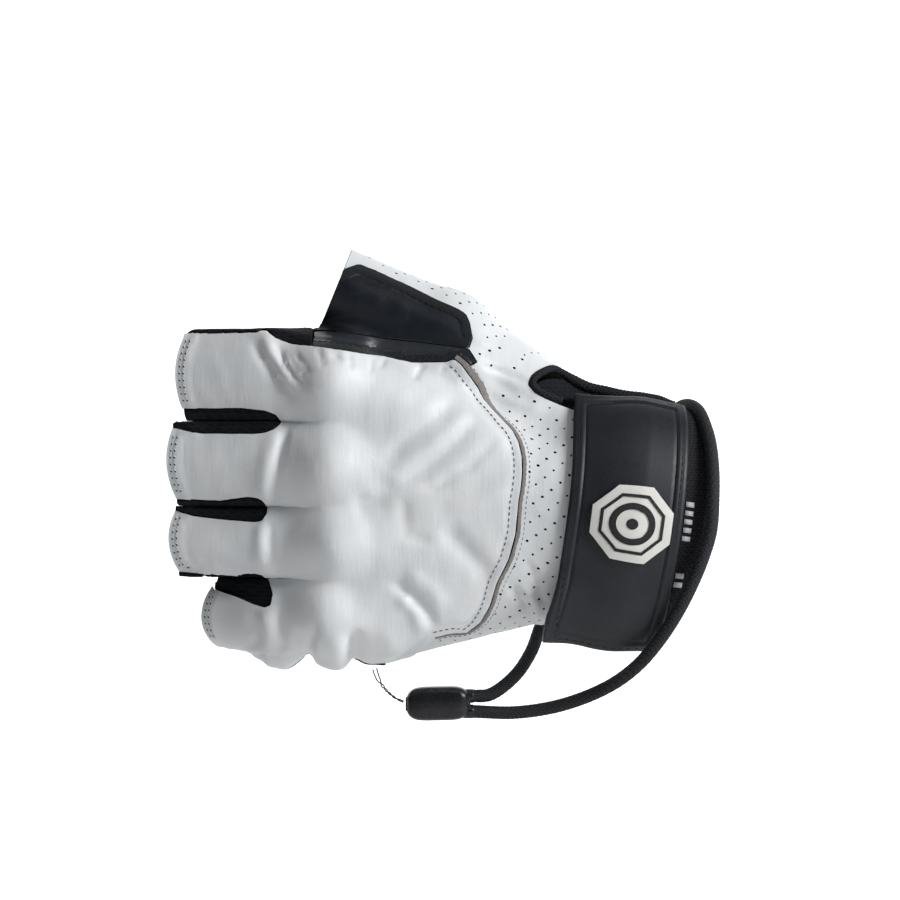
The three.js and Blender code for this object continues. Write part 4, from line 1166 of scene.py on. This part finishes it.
# The raw suede edge that shows along the back panel, wider near the thumb and a little frayed.
edge_line = on_back(CUFF_SEAM[:-3], 260)
edge_frames = surface_frames(edge_line)
fray = noise_at(edge_line, (1.1, 1.1, 1.1), 21)
wide = np.interp(edge_line[:, 2], [-40, 28, 34, 38, 44, 48, 50], [1.0, 1.05, 1.3, 2.0, 1.9, 1.4, 1.2])
wide = wide + 0.22 * fray
sections = [rounded_bar(w, 0.12, 0.5, 0.15) for w in wide]
mesh_piece("raw_suede_edge", sweep(shifted(edge_frames, aside=0.12 + wide / 2), sections), RAW,
    node="back_edge", sharp=60)

# Stitch rows: beside the seam, outside it, round the hems, and on the patch and the web.
seam_row = stitches(on_relief(edge_line, 0.1, -2.4), 1.75, 1.0, 0.17)
mesh_piece("seam_stitches", gather(seam_row), GREY_THREAD)
outer_row = stitches(shifted(edge_frames, aside=2.2), 1.5, 0.8, 0.1, lift=0.02)
mesh_piece("outer_seam_stitches", gather(outer_row), GREY_THREAD)


def hem_line(number, depth, count=60):
    """A line on the back leather at an even distance from one finger's edge."""
    centre, way, _ = HEMS[number]
    lo, hi = HEM_SPANS[number]
    z = np.linspace(lo, hi, count)
    x = np.full(count, centre[0])
    for _ in range(6):
        p = onto_front(np.column_stack([x, z]))
        x = x + (hems(p) - depth) / way[0]
        x = np.clip(x, -165, -100)
    return onto_front(np.column_stack([x, z]))


holes, threads = [], []
for number in range(len(HEMS)):
    for depth in (1.5, 2.75):
        frames = on_relief(hem_line(number, depth))
        threads += stitches(frames, 1.0, 1.1, 0.13, 0.75, 0.05)
        # Needle holes as flat dark dots sunk into the leather: painted shade in the holes.
        holes += stitches(frames, 2.0, 0.62, 0.24, 0.75, -0.02, 0.5)
mesh_piece("hem_stitches", gather(threads), PALE_THREAD)
mesh_piece("hem_needle_holes_painted_shade", gather(holes), HOLE_SHADE)

PATCH_ROW = [
    (-100.2, 73), (-95.9, 74.4), (-90.8, 72.3), (-82.9, 68.7), (-74.6, 64.6), (-68, 61.9),
    (-65.6, 59.4), (-65, 55.6)]
WEB_ROW = [(-109, 54.4), (-95, 52), (-81.5, 49.7), (-72, 49.8)]
frames = shifted(surface_frames(on_back(PATCH_ROW, 90)), lift=0.7)
mesh_piece("patch_stitches", gather(stitches(frames, 2.0, 1.4, 0.14)), DARK_THREAD)
line = on_back(WEB_ROW, 64)
frames = surface_frames(line)
frames = shifted(frames, lift=palm_relief(line, frames[2]) + 0.03)
mesh_piece("web_stitches", gather(stitches(frames, 1.9, 1.3, 0.15)), DARK_THREAD)


# The strap: a wall round the wrist with a raised stitched border.
def flap_lift(along, degrees):
    """How far the strap's end stands off the cuff, most of all on its finger side."""
    share = (STRAP_TO - along) / (STRAP_TO - STRAP_FROM)
    return (FLAP_LIFT + 4.2 * share) * smoothstep(FLAP_FROM, STRAP_END, degrees)


def strap_band():
    turn = np.linspace(STRAP_START, STRAP_END, 191)
    turn, along = np.meshgrid(turn, np.linspace(STRAP_FROM, STRAP_TO, 57), indexing="ij")
    left = (STRAP_TO - along) / (STRAP_TO - STRAP_FROM)
    first = STRAP_START - 10 - 4 * left
    turn = first + (STRAP_END - first) * (turn - STRAP_START) / (STRAP_END - STRAP_START)
    p = on_wrist(along - 2 * left * smoothstep(138, 168, turn), turn)
    near = np.minimum(np.minimum(along - STRAP_FROM, STRAP_TO - along),
        np.minimum(turn - first, STRAP_END - turn) * 0.5)
    border = (0.28 * smoothstep(3.5, 3.2, near) - 0.30 * bell(near, 3.55, 0.28)
        - 0.10 * bell(near, 1.7, 0.3) - 0.45 * (1 - np.clip(near / 0.55, 0, 1)) ** 2)
    drape = 0.12 * noise_at(p.reshape(-1, 3), 0.05, 23).reshape(along.shape)
    flap = flap_lift(along, turn)
    return grid_shell(p, STRAP_TOP - 0.2 + border + drape + flap, STRAP_LIFT + flap, False)


def strap_row(along, degrees):
    """Stitches along a line on the strap's face."""
    frames = surface_frames(on_wrist(along, degrees))
    return stitches(shifted(frames, lift=STRAP_TOP - 0.04 + flap_lift(along, degrees)), 2.3, 1.7, 0.16)


mesh_piece("strap_band", strap_band(), STRAP, node="wrist_strap", sharp=50)
turn = np.linspace(STRAP_START + 4, STRAP_END - 4, 200)
rows = strap_row(STRAP_FROM + 1.7, turn) + strap_row(STRAP_TO - 1.7, turn)
rows += strap_row(np.linspace(STRAP_FROM + 2, STRAP_TO - 2, 40), STRAP_END - 3.6)
mesh_piece("strap_stitches", gather(rows), DARK_THREAD)


# The knitted tape at the cuff's end: fine ribs along the wrist.
def cuff_knit():
    first, last = 0.3 - TAPE_WIDTH, 0.8
    degrees, s = np.meshgrid(np.arange(360), np.linspace(first, last, 15), indexing="ij")
    turn = np.abs((degrees + 180) % 360 - 180)
    reach = (3.3 * smoothstep(80, 55, turn) * smoothstep(3, 22, turn)
        - 3.4 * smoothstep(112, 150, turn) * (degrees < 200))
    p = on_wrist(s - end_back(degrees) + reach * (s - first) / (last - first), degrees)
    edge = np.minimum(s - first, last - s)
    hi = (0.25 + 0.12 * np.cos(np.radians(degrees) * 90)
        + 0.25 * np.sin(np.clip(edge / 2.4, 0, 1) * np.pi / 2)
        - 0.35 * (1 - np.clip(edge / 0.5, 0, 1)) ** 2)
    return grid_shell(p, hi, -1.5, True)


mesh_piece("cuff_knit", cuff_knit(), BINDING, node="cuff_tape", sharp=60)

# Plain pale bars printed on the knitted tape, from the first angle to the last.
BAR_SPANS = [(72, 102), (32, 42), (122, 131)]
bars = []
for first, last in BAR_SPANS:
    for turn in np.arange(first, last, 6):
        along, degrees = np.meshgrid([-5.8, -3.4], [turn, turn + 3.4])
        bars.append(grid_shell(on_wrist(along - end_back(degrees), degrees), 0.8, 0.3, False))
mesh_piece("tape_bars", gather(bars), PALE_THREAD)


# The rolled edge of the wrist slit, and the loop that holds the string.
def slit_roll():
    line = spline(SLIT_LINE, 150)
    front = line[:, 1] < -10
    line[front] = onto_front(line[front])
    line = settle(line)
    tail = settle(spline([line[-1], *SLIT_TAIL], 40))
    line = np.concatenate([line, tail[1:]])
    lift = -0.1 + 1.3 * smoothstep(-34, -22, line[:, 0]) - 0.9 * smoothstep(-9, -3.6, line[:, 0])
    swell = 1 + BINDING_SWELL * smoothstep(-37, -31, line[:, 0])
    swell = swell * (1 + 0.05 * np.cos(np.arange(len(line)) * 1.9))
    return sweep(shifted(surface_frames(line), lift=lift), [circle(BINDING_RADIUS * k, 14) for k in swell])


def string_tab():
    line = settle(spline(TAB_LINE, 24))
    frames = surface_frames(line)
    frames = shifted(frames, lift=palm_relief(line, frames[2]))
    return sweep(frames, rounded_bar(3.6, -0.2, 0.9, 0.4))


SLIT_TAIL = [(-9.3, -1.1, 37.5), (-6, -1.1, 36.5), (-3.6, -1.1, 35.6)]
TAB_LINE = [(-97.5, -3, -36), (-94.5, -2.4, -37.5), (-91.5, -1.6, -39), (-88.5, -1, -39.6)]
mesh_piece("slit_roll", slit_roll(), BINDING, node="slit_binding")
mesh_piece("string_tab", string_tab(), BINDING, node="leash_tab", sharp=60)


# The badge: an eight-sided plate with a rim and a raised ring, following the strap.
BADGE_S, BADGE_DEGREES, MM_PER_DEGREE = -20.7, 92, 0.44


def badge(radius, lo, hi, share_in, corners=8):
    """A ring or plate between two levels on the strap, round if it has no corners."""
    a = angles(96)[:, None]
    step = 2 * np.pi / (corners or 8)
    r = radius * np.cos(step / 2) / np.cos((a + step / 2) % step - step / 2) if corners else radius
    share = np.linspace(share_in, 1, 10)
    s, across = BADGE_S + r * share * np.cos(a), r * share * np.sin(a)
    p = on_wrist(s, BADGE_DEGREES + across / MM_PER_DEGREE)
    return grid_shell(p, hi - 0.12 * (share >= 0.97), lo, True)


plate = STRAP_TOP + 0.35
relief_parts = [badge(radius, plate + 0.6, plate + 0.95, share_in, corners)
    for radius, share_in, corners in ((9.4, 0.9, 8), (6.2, 0.7, 0), (1.6, 0.02, 0))]
mesh_piece("badge_plate", badge(12, plate, plate + 0.7, 0.02), PALE_RUBBER, node="strap_badge",
    sharp=40)
mesh_piece("badge_relief", gather(relief_parts), DARK_THREAD, sharp=40)


# The leash: a braided cord, its slider, and a twisted string.
def braided(line, radius, strands, pitch, depth, around=32):
    """A tube whose face is woven from strands that wind both ways."""
    phase, turn = np.meshgrid(run_of(line) / pitch * 2 * np.pi, angles(around), indexing="ij")
    weave = np.maximum(np.cos(strands * turn + phase * strands / 2),
        np.cos(strands * turn - phase * strands / 2))
    r = radius - depth + depth * weave
    return sweep(free_frames(line), np.stack([r * np.cos(turn), r * np.sin(turn)], -1))


def sleeve(y, z):
    """The short collar where one end of the cord leaves the slider."""
    frames = free_frames(np.array([(x, y, z) for x in (-65.5, -64, -62.6, -62.3)], dtype=float))
    return sweep(frames, [circle(r, 24) for r in (2.02, 2.06, 2.06, 1.85)])


def twisted_string():
    line = spline(STRING_LINE, 160)
    run = np.linspace(0, 1, len(line))
    centre, side, up = free_frames(line)
    apart = (0.2 + 0.4 * smoothstep(0.3, 1, run))[:, None]
    phase = (math.pi / 2 + 16 * smoothstep(0.8, 0, run))[:, None]
    offset = (side * np.cos(phase) + up * np.sin(phase)) * apart
    return gather([sweep(free_frames(centre + offset * k), circle(0.19, 10)) for k in (1, -1)])


cord_line = spline(LEASH_LINE, 900)
cord = mesh_piece("leash_braid", braided(cord_line, CORD_RADIUS + 0.03, strands=8, pitch=11, depth=0.1),
    CORD_LOOK, node="leash_cord")
mesh_piece("leash_sleeves", gather([sleeve(0.4, -49.2), sleeve(0, -53.7)]), PLASTIC, sharp=40)
mesh_piece("leash_twist", twisted_string(), DARK_THREAD, node="leash_string")

SLIDER_CENTRE, SLIDER_HALF = np.array([-72.8, 0, -51.3]), (9.5, 4.2, 5)


def slider_half(z0, z1, n=48, m=40):
    """One shell of the slider between two levels, with rounded ends and corners."""
    length, depth, height = SLIDER_HALF
    x = length * np.sin(np.linspace(-1, 1, n) * np.pi / 2)
    share = (1 - np.minimum(np.abs(x) / length, 1) ** 5) ** (1 / 2.2)
    share = np.maximum(share, 0.42)[:, None]
    u, v = (np.sign(w) * np.abs(w) ** 0.62 for w in (np.cos(angles(m)), np.sin(angles(m))))
    centre = SLIDER_CENTRE + np.column_stack([x, np.zeros(n), 0.02 * x])
    side, up = np.repeat([[[0, 1, 0]], [[0, 0, 1]]], n, axis=1)
    return sweep((centre, side, up),
        np.stack([u * depth * share, np.clip(v * height * share, z0, z1)], -1))


mesh_piece("slider_upper", slider_half(-0.55, 9), PLASTIC, node="leash_slider",
    sharp=35)
mesh_piece("slider_lower", slider_half(-9, -0.6), PLASTIC, sharp=35)


# Floor, backdrop and light.
def stage_plane(name, rows, width, colour, strength):
    points = [(sx * width, y, z) for y, z in rows for sx in (-1, 1)]
    faces = [(2 * i, 2 * i + 1, 2 * i + 3, 2 * i + 2) for i in range(len(rows) - 1)]
    mesh = bpy.data.meshes.new(name)
    mesh.from_pydata(points, [], faces)
    mesh.shade_smooth()
    look = Look(name, colour, 0.9, Specular_IOR_Level=0.0)
    look.bsdf.inputs["Emission Color"].default_value = (1, 1, 1, 1)
    look.bsdf.inputs["Emission Strength"].default_value = strength
    mesh.materials.append(look.material)
    obj = bpy.data.objects.new(name, mesh)
    bpy.context.scene.collection.objects.link(obj)


floor_rows = [(-2.2, -0.16), (0.25, -0.16)]
curve_rows = [(0.25, -0.16), (0.55, -0.16)]
curve_rows += [(0.55 + 0.35 * math.sin(a), 0.19 - 0.35 * math.cos(a))
    for a in np.radians(np.arange(10, 91, 10))]
curve_rows += [(0.9, 1.6)]
stage_plane("floor", floor_rows, 2.4, (0.8, 0.8, 0.8), 0.02)
stage_plane("backdrop", curve_rows, 2.4, (0.8, 0.8, 0.8), 0.9)


def area_light(name, location, target, size, power, colour=(1, 1, 1)):
    data = bpy.data.lights.new(name, "AREA")
    data.shape = "RECTANGLE"
    data.size, data.size_y = size
    data.energy = power
    data.color = colour
    obj = bpy.data.objects.new(name, data)
    obj.location = location
    way = Vector(target) - Vector(location)
    obj.rotation_euler = way.to_track_quat("-Z", "Y").to_euler()
    bpy.context.scene.collection.objects.link(obj)


world = bpy.data.worlds.new("world")
world.use_nodes = True
world.node_tree.nodes["Background"].inputs["Color"].default_value = (0.93, 0.96, 1, 1)
world.node_tree.nodes["Background"].inputs["Strength"].default_value = 0.05
bpy.context.scene.world = world
area_light("key", (0.75, -0.47, 0.42), (-0.07, 0, 0.01), (0.4, 0.4), 10.8)
area_light("fill", (-0.8, -0.7, 0.1), (-0.07, 0, 0), (0.6, 0.8), 0.12, (0.92, 0.97, 1))
area_light("top", (-0.1, 0.1, 0.9), (-0.07, 0, 0), (1.0, 0.6), 0.25)
area_light("front", (-0.1, -0.5, 0.75), (-0.02, 0, 0), (1.0, 0.1), 0.7)
bpy.context.scene.view_settings.view_transform = "Standard"
bpy.context.scene.view_settings.look = "None"
